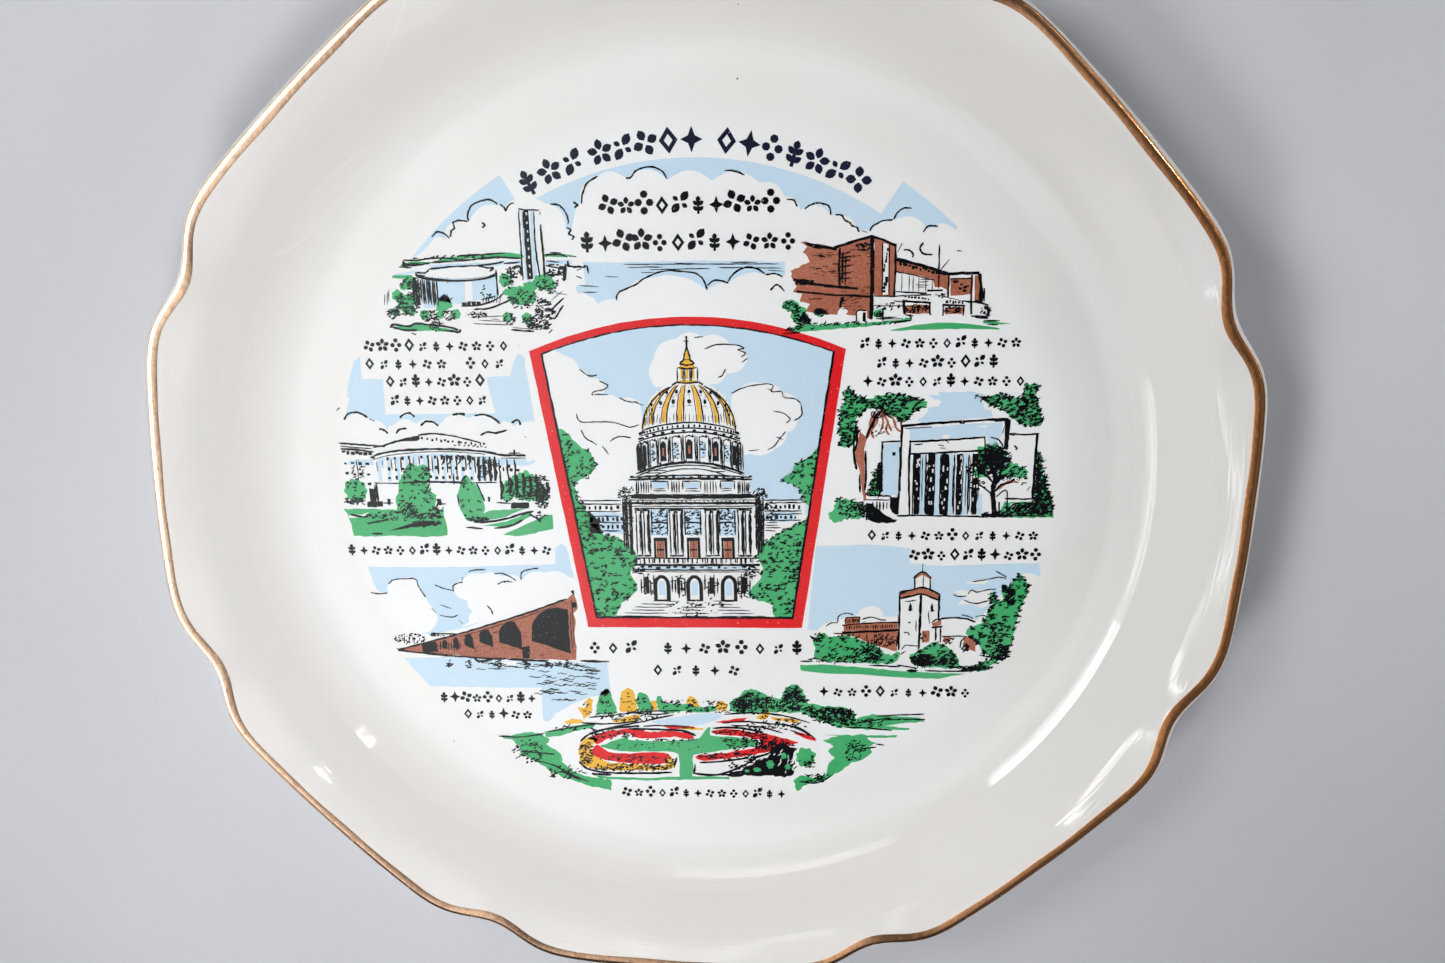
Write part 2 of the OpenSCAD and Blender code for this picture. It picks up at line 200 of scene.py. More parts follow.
# ---- Materials ----
class Paint:
    """A node material with a Principled shader, and short calls for the nodes that feed it."""

    def __init__(self, name, **sockets):
        self.material = bpy.data.materials.new(name)
        self.material.use_nodes = True
        self.nodes = self.material.node_tree.nodes
        self.links = self.material.node_tree.links
        self.shader = self.nodes["Principled BSDF"]
        for key, value in sockets.items():
            self.shader.inputs[key.replace("_", " ")].default_value = value
        self.place = self.nodes.new("ShaderNodeTexCoord").outputs["Object"]

    def node(self, kind, inputs=None, **props):
        made = self.nodes.new("ShaderNode" + kind)
        for key, value in props.items():
            setattr(made, key, value)
        for key, value in (inputs or {}).items():
            if isinstance(value, bpy.types.NodeSocket):
                self.links.new(value, made.inputs[key])
            else:
                made.inputs[key].default_value = value
        return made

    def noise(self, per_metre, detail=2.0, rough=0.5, where=None):
        made = self.node("TexNoise", {"Vector": where or self.place, "Scale": per_metre,
                                      "Detail": detail, "Roughness": rough})
        return made.outputs["Fac"]

    def ramp(self, value, low, high, to_low=0.0, to_high=1.0):
        made = self.node("MapRange", {"Value": value, "From Min": low, "From Max": high,
                                      "To Min": to_low, "To Max": to_high})
        return made.outputs["Result"]

    def maths(self, what, a, b=0.0):
        return self.node("Math", {0: a, 1: b}, operation=what).outputs[0]

    def mix(self, fac, a, b):
        made = self.node("Mix", data_type="RGBA")
        for socket, value in zip((made.inputs[0], made.inputs[6], made.inputs[7]), (fac, a, b)):
            if isinstance(value, bpy.types.NodeSocket):
                self.links.new(value, socket)
            else:
                socket.default_value = value
        return made.outputs[2]

    def to(self, socket, value):
        self.links.new(value, self.shader.inputs[socket])

    def bump(self, height, distance, strength=1.0, under=None):
        inputs = {"Height": height, "Distance": distance, "Strength": strength}
        if under is not None:
            inputs["Normal"] = under
        return self.node("Bump", inputs).outputs["Normal"]


def rgb(r, g, b):
    """sRGB 0-255 to the linear colour that a shader takes."""
    lin = [((c / 255 + 0.055) / 1.055) ** 2.4 if c > 10 else c / 255 / 12.92 for c in (r, g, b)]
    return (*lin, 1.0)


def glaze_paint():
    p = Paint("cream_glaze", Roughness=0.05, IOR=1.52)
    split = p.node("SeparateXYZ", {"Vector": p.place})
    flat = p.node("CombineXYZ", {"X": split.outputs["X"], "Y": split.outputs["Y"]})
    radius = p.node("VectorMath", {0: flat.outputs[0]}, operation="LENGTH").outputs["Value"]
    cloudy = p.ramp(p.noise(14, 3), 0.35, 0.65)
    # whiter in the well, a little darker and warmer over the cove and the flange
    colour = p.mix(p.ramp(radius, 0.084, 0.090), rgb(244, 246, 249), rgb(239, 239, 238))
    colour = p.mix(p.ramp(radius, 0.100, 0.108), colour, rgb(234, 231, 229))
    colour = p.mix(p.maths("MULTIPLY", cloudy, 0.35), colour, rgb(230, 227, 222))
    # pinholes and iron specks
    cells = p.node("TexVoronoi", {"Vector": p.place, "Scale": 160.0})
    chosen = p.node("SeparateColor", {"Color": cells.outputs["Color"]}).outputs[0]
    rare = p.maths("LESS_THAN", chosen, 0.035)
    close = p.maths("LESS_THAN", cells.outputs["Distance"], 0.055)
    speck = p.maths("MULTIPLY", rare, close)
    colour = p.mix(p.maths("MULTIPLY", speck, 0.75), colour, rgb(92, 74, 58))
    # crazing: long faint lines that run with the upper left of the flange
    turned = p.node("VectorRotate", {"Vector": p.place, "Angle": math.radians(48)}, rotation_type="Z_AXIS")
    drawn_out = p.node("VectorMath", {0: turned.outputs[0], 1: (34.0, 9.0, 20.0)}, operation="MULTIPLY")
    fold = p.node("TexNoise", {"Vector": drawn_out.outputs[0], "Scale": 1.0, "Detail": 1.0}).outputs["Fac"]
    phase = p.maths("FRACT", p.maths("MULTIPLY", fold, 9.0))
    hair = p.ramp(p.maths("ABSOLUTE", p.maths("SUBTRACT", phase, 0.5)), 0.0, 0.022, 1.0, 0.0)
    upper_left = p.node("VectorMath", {0: flat.outputs[0], 1: (-0.7, 0.7, 0)}, operation="DOT_PRODUCT")
    where = p.ramp(upper_left.outputs["Value"], 0.055, 0.11)
    hair = p.maths("MULTIPLY", p.maths("MULTIPLY", hair, where), p.ramp(p.noise(45, 2), 0.45, 0.6))
    colour = p.mix(p.maths("MULTIPLY", hair, 0.5), colour, rgb(246, 244, 240))
    # bare clay on the foot ring's rubbed edge
    height = split.outputs["Z"]
    bare = p.ramp(p.maths("ADD", height, p.maths("MULTIPLY", p.noise(220, 2), 0.0006)), 0.0007, 0.0009, 1, 0)
    colour = p.mix(bare, colour, rgb(205, 186, 156))
    p.to("Base Color", colour)
    p.to("Roughness", p.ramp(bare, 0, 1, 0.05, 0.75))
    slow = p.bump(p.noise(28, 2), 0.00035)
    fine = p.bump(p.noise(260, 1), 0.00002, under=slow)
    pits = p.bump(p.maths("ADD", speck, p.maths("MULTIPLY", hair, -0.5)), 0.00004, under=fine)
    # turning lines left by the jigger tool, round the cove and the flange
    outward = p.node("CombineXYZ", {"X": radius})
    rings = p.noise(1100, 2, 0.6, outward.outputs[0])
    p.to("Normal", p.bump(rings, 0.00007, p.ramp(radius, 0.096, 0.104), pits))
    return p.material


def ink_paint(name, body, faded, grain=0.22, misses=0.70):
    """Printed enamel: body colour with the grain of the screen, a slow unevenness and tiny misses."""
    p = Paint(name, Roughness=0.07, IOR=1.52)
    grainy = p.ramp(p.noise(2600, 1), 0.40, 0.75, 0, grain)
    slow = p.ramp(p.noise(45, 3), 0.35, 0.7, 0, 0.35)
    colour = p.mix(p.maths("ADD", grainy, slow), body, faded)
    missed = p.ramp(p.noise(1500, 2), misses, misses + 0.03)
    colour = p.mix(p.maths("MULTIPLY", missed, 0.4), colour, rgb(234, 230, 222))
    p.to("Base Color", colour)
    slow_bump = p.bump(p.noise(28, 2), 0.00035)
    p.to("Normal", slow_bump)
    return p.material


def gold_paint():
    p = Paint("gold_lustre", Metallic=1.0, Roughness=0.15)
    worn = p.ramp(p.noise(420, 4, 0.6), 0.50, 0.72)
    # painted light: the gold's colour runs from pale on the left (-X) to brown on the right (+X), standing
    # in for bright reflections on the left and dim ones on the right
    side = p.node("SeparateXYZ", {"Vector": p.place}).outputs["X"]
    painted_light_x = p.maths("ADD", side, p.maths("MULTIPLY", p.noise(30, 2), 0.03))
    colour = p.mix(p.ramp(painted_light_x, -0.10, 0.12), rgb(244, 204, 172), rgb(184, 126, 82))
    colour = p.mix(p.maths("MULTIPLY", worn, 0.45), colour, rgb(140, 92, 60))
    p.to("Base Color", colour)
    p.to("Roughness", p.ramp(worn, 0, 1, 0.13, 0.34))
    p.to("Normal", p.bump(p.noise(700, 2), 0.00003))
    return p.material


def floor_paint():
    p = Paint("pale_floor", Roughness=0.55)
    p.to("Base Color", p.mix(p.ramp(p.noise(6, 4), 0.3, 0.7), rgb(214, 215, 220), rgb(205, 207, 214)))
    return p.material


# ---- Body ----
def off_notch(angle):
    return abs(angle % (2 * HALF_SIDE) - HALF_SIDE)


def lip_r(angle, depth=NOTCH_DEPTH):
    n = off_notch(angle)
    side = SIDE_R / math.cos(math.radians(HALF_SIDE - math.hypot(n, NOTCH_SOFT))) ** SIDE_BOW
    return side - depth * math.exp(-(n / NOTCH_HALF) ** 2)


def bez(a, b, c, n):
    return [tuple((1 - t) ** 2 * p + 2 * t * (1 - t) * q + t * t * s for p, q, s in zip(a, b, c))
            for t in (i / n for i in range(n + 1))]


def ridge(r):
    """Faint turning ridges where the well meets the flange."""
    return sum(h * math.exp(-((r - at) / w) ** 2) for at, h, w in RIDGES)


def section(angle):
    """The body's section at one angle, from the well's centre over the lip to the back's centre."""
    rim = lip_r(angle)
    pts = [(r, FLOOR_Z) for r in (20, 40, 60, 70, 80, 86, 91)]
    pts += bez(*COVE, 30)
    slope = (FOLD[1] - COVE[2][1]) / (FOLD[0] - COVE[2][0])
    pts += [(r, COVE[2][1] + slope * (r - COVE[2][0])) for r in (113.5, 114.8, 116.2)]
    inner = rim - LIP_T / 2
    # a tight fold, then the verge runs nearly level to the lip
    verge = (inner - VERGE_IN, VERGE_Z)
    verge_slope = (VERGE_Z - FOLD[1]) / (verge[0] - FOLD[0])
    pts += bez((FOLD[0] - FOLD_SOFT, FOLD[1] - slope * FOLD_SOFT), FOLD,
               (FOLD[0] + FOLD_SOFT, FOLD[1] + verge_slope * FOLD_SOFT), 10)
    pts += [tuple(a + (b - a) * t for a, b in zip(pts[-1], verge)) for t in (0.33, 0.67, 1)]
    pts = [(r, z + ridge(r)) for r, z in pts]
    # the rounded lip
    cz = LIP_Z - LIP_T / 2
    for i in range(18):
        a = math.radians(LIP_START - i * 11.4)
        pts.append((inner + LIP_T / 2 * math.cos(a), cz + LIP_T / 2 * math.sin(a)))
    back = bez((inner - 1.2, cz - LIP_T / 2 - 0.25), (117.5, FOLD[1] - 5.6), (112.4, 9.6), 8)
    back += bez((111.2, 8.7), (104, 3.2), (94, 2.3), 12)
    back += [(88, 2.15), (82, 2.05), (FOOT_R + 1.8, 2.0), (FOOT_R + 0.8, 1.7), (FOOT_R + 0.25, 1.1)]
    back += [(FOOT_R, 0.6), (FOOT_R - 0.35, 0.2), (FOOT_R - 0.9, 0.0)]
    back += [(FOOT_R - FOOT_W + 0.9, 0.0), (FOOT_R - FOOT_W + 0.35, 0.2), (FOOT_R - FOOT_W, 0.6)]
    back += [(FOOT_R - FOOT_W - 0.3, 1.2), (FOOT_R - FOOT_W - 1.2, 1.8), (FOOT_R - FOOT_W - 2.5, 2.0)]
    back += [(r, 2.0) for r in (60, 40, 20)]
    return pts + back


def lathe(name, sections, closed_ends=None, paint=None):
    """A mesh whose rings join matching points of the sections round the plate."""
    count = len(sections)
    rows = len(sections[0])
    verts = []
    for k, line in enumerate(sections):
        a = math.tau * k / count
        verts += [(r * MM * math.cos(a), r * MM * math.sin(a), z * MM) for r, z in line]
    faces = []
    for k in range(count):
        here, there = k * rows, (k + 1) % count * rows
        for j in range(rows - 1):
            faces.append((here + j, here + j + 1, there + j + 1, there + j))
        if closed_ends is None:
            faces.append((here + rows - 1, here, there, there + rows - 1))
    if closed_ends:
        for j, z in zip((0, rows - 1), closed_ends):
            tip = len(verts)
            verts.append((0, 0, z * MM))
            for k in range(count):
                pair = (k * rows + j, (k + 1) % count * rows + j)
                faces.append((tip, *pair) if j == 0 else (tip, *reversed(pair)))
    return add_mesh(name, verts, faces, paint, smooth=True)


def add_mesh(name, verts, faces, paint, smooth=False):
    mesh = bpy.data.meshes.new(name)
    mesh.from_pydata(verts, [], faces)
    mesh.update()
    mesh.materials.append(paint)
    if smooth:
        mesh.shade_smooth()
    piece = bpy.data.objects.new(name, mesh)
    bpy.context.scene.collection.objects.link(piece)
    return piece


def finish_piece(piece, node):
    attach(piece, "root")
    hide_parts(node)


def add_body():
    lines = [section(360 * k / AROUND) for k in range(AROUND)]
    body = lathe("body", lines, (FLOOR_Z, 2.0), glaze_paint())
    finish_piece(body, "plate_body")


def gold_section(angle):
    """The gilt skin, from the verge just inside the lip over the lip's crown."""
    rim = lip_r(angle)
    inner = rim - LIP_T / 2
    cz = LIP_Z - LIP_T / 2
    waver = 0.12 * math.sin(math.radians(angle * 11 + 20)) + 0.08 * math.sin(math.radians(angle * 37))
    reach = rim - lip_r(angle, GOLD_NOTCH)
    stop = 56 + 14 * reach + 30 * waver
    verge_r = 1.35 + 0.5 * reach + waver
    verge_top = LIP_Z + 0.03 - (verge_r - 0.3) * 0.155
    top, under = [(inner - verge_r, verge_top)], [(inner - verge_r, verge_top - 0.06)]
    # a point close behind the edge keeps the face of the line flat
    top.append((inner - verge_r + 0.07, verge_top + 0.02))
    under.append((inner - verge_r + 0.07, verge_top - 0.06))
    steps = 14
    for i in range(steps + 1):
        a = math.radians(LIP_START + (stop - LIP_START) * i / steps)
        edge = 0.0 if i == steps else 0.08
        for line, r in ((top, LIP_T / 2 + 0.01 + edge), (under, LIP_T / 2 - 0.05)):
            line.append((inner + r * math.cos(a), cz + r * math.sin(a)))
    return top + under[::-1]


def add_gold():
    lines = [gold_section(360 * k / AROUND) for k in range(AROUND)]
    band = lathe("gold_line", lines, None, gold_paint())
    GILT.objects.link(band)
    finish_piece(band, "gold_rim_band")


def add_floor():
    reach = 3.0
    floor = add_mesh("floor", [(-reach, -reach, 0), (reach, -reach, 0), (reach, reach, 0), (-reach, reach,
        0)], [(0, 1, 2, 3)], floor_paint())


# ---- Drawing kit: decal millimetres, x right and y up from the plate's centre ----
LAID, BARE = {}, {}
MIDDLE_X = -1.9
NIB = 1.16              # how much fuller the printed line is than the drawn one


def lay(node, *outlines):
    """Prints the outlines in the node's ink."""
    LAID.setdefault(node, []).extend(outlines)


def keep_off(node, *outlines):
    """Keeps the node's ink out of the outlines."""
    BARE.setdefault(node, []).extend(outlines)


def arc(cx, cy, rx, ry, start=0, stop=360, n=18):
    steps = n if stop - start == 360 else n + 1
    angles = (math.radians(start + (stop - start) * i / n) for i in range(steps))
    return [(cx + rx * math.cos(a), cy + ry * math.sin(a)) for a in angles]


def polar(r, degrees):
    return r * math.cos(math.radians(degrees)), r * math.sin(math.radians(degrees))


def rect(x0, y0, x1, y1):
    return [(x0, y0), (x1, y0), (x1, y1), (x0, y1)]


def resampled(line, step, closed=False):
    ends = line[1:] + line[:1] if closed else line[1:]
    out = []
    for (x0, y0), (x1, y1) in zip(line, ends):
        parts = max(1, round(math.hypot(x1 - x0, y1 - y0) / step))
        out += [(x0 + (x1 - x0) * i / parts, y0 + (y1 - y0) * i / parts) for i in range(parts)]
    return out if closed else out + [line[-1]]


def nudged(line, amount):
    return [(x + rng.uniform(-amount, amount), y + rng.uniform(-amount, amount)) for x, y in line]


def rough(outline, amount=0.22, step=1.2):
    """A closed outline with a hand-cut edge, cut more gently if it would cross itself."""
    edge = nudged(resampled(outline, step, True), amount)
    while amount > 0.01 and not is_simple(edge):
        amount /= 2
        edge = nudged(resampled(outline, step, True), amount)
    return edge


def smooth(points, n=5, closed=False):
    """A curve through the points."""
    count = len(points)
    spans = count if closed else count - 1
    out = []
    for i in range(spans):
        if closed:
            a, b, c, d = (points[(i + k) % count] for k in (-1, 0, 1, 2))
        else:
            a, b, c, d = (points[min(max(i + k, 0), count - 1)] for k in (-1, 0, 1, 2))
        for j in range(n):
            t = j / n
            out.append(tuple(0.5 * (2 * q + (r - p) * t + (2 * p - 5 * q + 4 * r - s) * t * t
                                    + (3 * q - p - 3 * r + s) * t ** 3) for p, q, r, s in zip(a, b, c, d)))
    return out if closed else out + [points[-1]]


def lay_rough(node, outline, *shake):
    """Lays one outline with a rough edge."""
    lay(node, rough(outline, *shake))


def lay_soft(node, outline, *shake):
    """Lays one outline with its corners rounded off and a rough edge."""
    lay(node, rough(smooth(outline, 3, True), *shake))


def scallops(cusps, bulge=0.3, n=7):
    """A cloud's edge: lobes between cusps, swelling to the left of the way the line runs."""
    out = []
    for (x0, y0), (x1, y1) in zip(cusps, cusps[1:]):
        dx, dy = x1 - x0, y1 - y0
        for i in range(n):
            t = i / n
            lift = bulge * math.sin(math.pi * t)
            out.append((x0 + dx * t - dy * lift, y0 + dy * t + dx * lift))
    return out + [cusps[-1]]


def blob(cx, cy, rx, ry, lobes=7, dent=0.18, n=4):
    """Foliage: a rounded clump whose edge is all small lobes."""
    phase = rng.uniform(0, math.tau)
    sizes = [rng.uniform(0.86, 1.08) for _ in range(lobes)]
    out = []
    for i in range(lobes * n):
        a = phase + math.tau * i / (lobes * n)
        swell = math.sin(math.pi * (i % n + 0.5) / n)
        r = sizes[i // n] * (1 - dent + dent * swell)
        out.append((cx + rx * r * math.cos(a), cy + ry * r * math.sin(a)))
    return out


def pen(node, line, width=0.3, waver=0.08, ends=0.5, step=1.1):
    """An inked line: overlapping quads whose width and course waver like a nib's."""
    line = resampled(line, step)
    last = len(line) - 1
    widths = [width * NIB * rng.uniform(0.75, 1.3) * (ends if i in (0,
                                                                    last) else 1) for i in range(last + 1)]
    course = nudged(line, waver)
    for (x0, y0), (x1, y1), w0, w1 in zip(course, course[1:], widths, widths[1:]):
        run = math.hypot(x1 - x0, y1 - y0)
        if run > 0.02:
            dx, dy = (x1 - x0) / run, (y1 - y0) / run
            ax, ay, bx, by = x0 - dx * w0 * 0.2, y0 - dy * w0 * 0.2, x1 + dx * w1 * 0.2, y1 + dy * w1 * 0.2
            lay(node, [(ax + dy * w0 / 2, ay - dx * w0 / 2), (bx + dy * w1 / 2, by - dx * w1 / 2),
                       (bx - dy * w1 / 2, by + dx * w1 / 2), (ax - dy * w0 / 2, ay + dx * w0 / 2)])


def pens(node, lines, width=0.3, waver=0.06):
    for line in lines:
        pen(node, smooth(line, 4) if len(line) > 2 else line, width, waver)


def strokes(node, x0, x1, y0, y1, count, width=0.3, lean=0.0, uneven=0.35):
    """Upright strokes side by side, as for columns or shading."""
    for i in range(count):
        x = x0 + (x1 - x0) * (i + 0.5) / count + rng.uniform(-1, 1) * 0.12
        cut = [rng.uniform(0, uneven) for _ in range(2)]
        pen(node, [(x, y0 + cut[0]), (x + lean, y1 - cut[1])], width, 0.05)


def levels(node, x0, x1, y0, y1, count, width=0.25, uneven=1.0):
    """Level strokes one above another, as for steps or water."""
    for i in range(count):
        y = y0 + (y1 - y0) * (i + 0.5) / count
        pen(node, [(x0 + rng.uniform(0, uneven), y),
                   (x1 - rng.uniform(0, uneven), y + rng.uniform(-0.1, 0.1))],
            width, 0.06)


def blots(node, x0, x1, y0, y1, count, w=0.6, h=0.6, shake=0.15):
    """A row of small dark openings from one end to the other."""
    for i in range(count):
        t = (i + 0.5) / count
        x = x0 + (x1 - x0) * t + rng.uniform(-shake, shake)
        y = y0 + (y1 - y0) * t + rng.uniform(-shake, shake)
        a, b = w / 2 * rng.uniform(0.7, 1.2), h / 2 * rng.uniform(0.7, 1.2)
        lay(node, nudged(rect(x - a, y - b, x + a, y + b), 0.08))


def leaves(node, cx, cy, rx, ry, count, size=0.9, shade=0.35):
    """Leaf marks over a clump, thicker towards its lower right."""
    for _ in range(round(count * 1.3)):
        a, r = rng.uniform(0, math.tau), math.sqrt(rng.random())
        x = cx + rx * (r * math.cos(a) * (1 - shade / 2) + shade * rng.uniform(0, 0.8))
        y = cy + ry * (r * math.sin(a) * (1 - shade / 2) - shade * rng.uniform(0, 0.8))
        s, way = size * rng.uniform(0.5, 1.2), rng.uniform(-0.5, 1.2)
        if rng.random() < 0.45:
            lay(node, [(x + s * 0.5 * math.cos(way + k * 1.57) * f,
                y + s * 0.42 * math.sin(way + k * 1.57) * f) for k, f in enumerate((1.1, 0.6, 0.9, 0.65))])
        else:
            bend = rng.uniform(-0.5, 0.5)
            pen(node, [(x - s * 0.6 * math.cos(way), y - s * 0.6 * math.sin(way)),
                       (x + bend * s * 0.5, y - bend * s * 0.3),
                       (x + s * 0.6 * math.cos(way), y + s * 0.6 * math.sin(way))], 0.3, 0.05)


def tree(green, ink, cx, cy, rx, ry, marks=None, lobes=None, size=0.9, shade=0.35):
    lay(green, blob(cx, cy, rx, ry, lobes or max(6, round((rx + ry) * 1.6))))
    leaves(ink, cx, cy, rx, ry, marks if marks is not None else round(rx * ry * 2.2) + 4, size, shade)


def grove(green, ink, outline, count, size=0.9):
    """Foliage of any outline with leaf marks inside it."""
    lay_soft(green, outline, 0.28, 0.9)
    xs, ys = [x for x, _ in outline], [y for _, y in outline]
    made = 0
    while made < count:
        x, y = rng.uniform(min(xs), max(xs)), rng.uniform(min(ys), max(ys))
        if inside(outline, x, y):
            leaves(ink, x, y, 0.5, 0.4, 1.4, size)
            made += 1


def inside(outline, x, y):
    hit = False
    for (x0, y0), (x1, y1) in zip(outline, outline[1:] + outline[:1]):
        if (y0 > y) != (y1 > y) and x < x0 + (y - y0) * (x1 - x0) / (y1 - y0):
            hit = not hit
    return hit


# ---- Ornaments, which stand where a plate like this has its lettering ----
def petal(turn, reach, wide, start=0.0):
    c, s = math.cos(turn), math.sin(turn)
    leaf = [(start + reach * t, wide * math.sin(math.pi * t) ** 0.7) for t in (0, 0.25, 0.5, 0.75, 1)]
    leaf += [(x, -y) for x, y in leaf[-2:0:-1]]
    return [(x * c - y * s, x * s + y * c) for x, y in leaf]


def floret(petals, wide):
    return [petal(math.tau * (k + 0.25) / petals, 0.42, wide, 0.09) for k in range(petals)], []


def pointed():
    star = []
    for k in range(8):
        r = 0.5 if k % 2 == 0 else 0.21
        star.append((0.85 * r * math.cos(math.tau * k / 8), r * math.sin(math.tau * k / 8)))
    return [star], []


def lozenge_open():
    outer = [(0.36, 0), (0, 0.5), (-0.36, 0), (0, -0.5)]
    return [outer, [(x * 0.2, y * 0.2) for x, y in outer]], [[(x * 0.46, y * 0.46) for x, y in outer]]


def sprig():
    leaves_of_it = [petal(math.radians(a), 0.38, 0.12) for a in (38, 142)]
    up = [[(x, y - 0.32) for x, y in leaf] for leaf in leaves_of_it]
    up += [[(x, y - 0.02) for x, y in leaf] for leaf in leaves_of_it]
    return up + [rect(-0.07, -0.5, 0.07, 0.22), petal(math.pi / 2, 0.36, 0.14, 0.14)], []


def leaf_pair():
    return [petal(math.radians(52), 0.5, 0.17, 0.06), petal(math.radians(232), 0.5, 0.17, 0.06),
            petal(math.radians(142), 0.28, 0.10, 0.1), petal(math.radians(322), 0.28, 0.10, 0.1)], []


def dotted():
    return [[(x + 0.165 * math.cos(a),
              y + 0.165 * math.sin(a)) for a in (k * math.tau / 7 for k in range(7))]
            for x, y in ((0, 0.34), (0.24, 0), (-0.24, 0), (0, -0.34))], []


ORNAMENTS = (sprig, lozenge_open, lambda: floret(5, 0.15), pointed, leaf_pair, dotted,
             lambda: floret(4, 0.17))


def ornament(node, kind, x, y, height, turn=0.0):
    laid, bare = ORNAMENTS[kind % len(ORNAMENTS)]()
    c, s = math.cos(turn) * height, math.sin(turn) * height
    lay(node, *[[(x + px * c - py * s, y + px * s + py * c) for px, py in line] for line in laid])
    keep_off(node, *[[(x + px * c - py * s, y + px * s + py * c) for px, py in line] for line in bare])


def ornament_row(node, x0, x1, y, height, count, gap_after=(), small=0.72):
    """A row of ornaments; the ones that open a group stand taller, and a gap may follow some."""
    slots = count + len(gap_after)
    place, opens = 0, True
    for i in range(count):
        x = x0 + (x1 - x0) * place / (slots - 1)
        tall = height if opens else height * (small + 0.28 * (rng.random() < 0.22))
        ornament(node, i * 3 + round(x0) + round(y), x, y - (height - tall) / 2, tall)
        opens = i in gap_after
        place += 2 if opens else 1


# ---- Films ----
def anticlockwise(outline):
    area = sum(x0 * y1 - x1 * y0 for (x0, y0), (x1, y1) in zip(outline, outline[1:] + outline[:1]))
    return outline if area > 0 else outline[::-1]


def crosses(a, b, c, d):
    """Whether the segments a-b and c-d cross."""
    def side(p, q, r):
        return (q[0] - p[0]) * (r[1] - p[1]) - (q[1] - p[1]) * (r[0] - p[0])
    return side(a, b, c) * side(a, b, d) < 0 and side(c, d, a) * side(c, d, b) < 0


def is_simple(outline):
    """Whether the outline nowhere crosses itself; hand-shaken ones now and then do."""
    edges = list(zip(outline, outline[1:] + outline[:1]))
    pairs = ((i, j) for i in range(len(edges)) for j in range(i + 2, len(edges)))
    return not any(crosses(*edges[i], *edges[j]) for i, j in pairs)


def film(node, slot, thick):
    """One printed film: what is laid, less what is kept off, as a thin closed solid on the well's floor."""
    laid, bare = ([line for line in lines.get(node, []) if is_simple(line)] for lines in (LAID, BARE))
    coords, faces = [], []
    for outline in laid + bare:
        faces.append(list(range(len(coords), len(coords) + len(outline))))
        coords += anticlockwise(outline)
    flat, _, tris, _, _, owners = delaunay_2d_cdt([Vector(p) for p in coords], [], faces, 1, 1e-6, True)
    kept = [t for t, own in zip(tris, owners) if own and max(own) < len(laid)]
    c, s = math.cos(DECAL_TURN) * MM, math.sin(DECAL_TURN) * MM
    used = sorted({v for t in kept for v in t})
    low = {v: i for i, v in enumerate(used)}
    count = len(used)
    verts = []
    for z in ((FLOOR_Z - 0.02) * MM, (FLOOR_Z + thick) * MM):
        verts += [(flat[v][0] * c - flat[v][1] * s, flat[v][0] * s + flat[v][1] * c, z) for v in used]
    edges = {(t[i], t[(i + 1) % len(t)]) for t in kept for i in range(len(t))}
    solid = [[low[v] + count for v in t] for t in kept] + [[low[v] for v in reversed(t)] for t in kept]
    solid += [(low[a], low[b], low[b] + count, low[a] + count) for a, b in edges if (b, a) not in edges]
    finish_piece(add_mesh(node + "_film", verts, solid, INKS[slot]), node)


# ---- Title, name and captions ----
def draw_lettering_ornaments():
    for first, last, count, kind in ((117.2, 109.2, 3, 0), (104.4, 89.6, 5, 2), (84.0, 62.0, 7, 1)):
        for i in range(count):
            a = first + (last - first) * i / (count - 1)
            x, y = polar(81.4, a)
            ornament("title_ornaments", kind + 2 * i, x, y, 6.0, math.radians(a - 90))
    ornament_row("name_ornaments", -19, 18.3, 67.2, 4.9, 10, (), 0.84)
    ornament_row("name_ornaments", -24.3, 22.2, 58.7, 4.9, 12, (), 0.84)
    ornament_row("name_ornaments", -27.5, 23.8, -43.9, 3.3, 11, (2,), 0.95)
    ornament_row("name_ornaments", -11.6, 7.8, -50.0, 3.2, 5, (), 0.95)
    for x0, x1, y, count, gaps in ((-78, -45.5, 34.6, 11, ()), (-78.3, -46.8, 30.3, 9, (5,)), (-73.7, -51.8,
            25.9, 8, ()), (-73, -51.6, 21.3, 8, ()), (40, 75, 34.4, 12, ()), (44, 70, 29.7, 9, ()),
            (40.8, 76.4, 25.2, 12, ()), (-87.6, -38.3, -17.3, 17, ()), (42.2, 81.2, -13.4, 13, ()),
            (52.7, 82, -18.6, 10, ()), (-67.5, -44.6, -58.1, 9, ()), (-61.6, -46, -62.8, 6, ()), (30.6, 66.2,
            -55.7, 11, ()), (-21, 19.6, -85.2, 14, ())):
        ornament_row("caption_ornaments", x0, x1, y, 3.0, count, gaps, 0.84)


# ---- Sky over the upper pictures ----
LEFT_CLOUD = [(-60.3, 59.8), (-57.4, 59.6), (-55, 63.6), (-51.6, 63.8), (-43, 67.0), (-33.5, 67.6),
    (-29, 62.6)]
NAME_CLOUD = [(-25.4, 67.6), (-22, 73.0), (-14.6, 73), (-5, 72.6), (5, 72.2), (15.8, 71.6), (21.5, 68.4),
    (25, 65.3), (32.4, 64.0), (38.4, 60.2), (41, 60.0), (46.2, 62.8), (54, 60.6), (60.2, 60.4)]


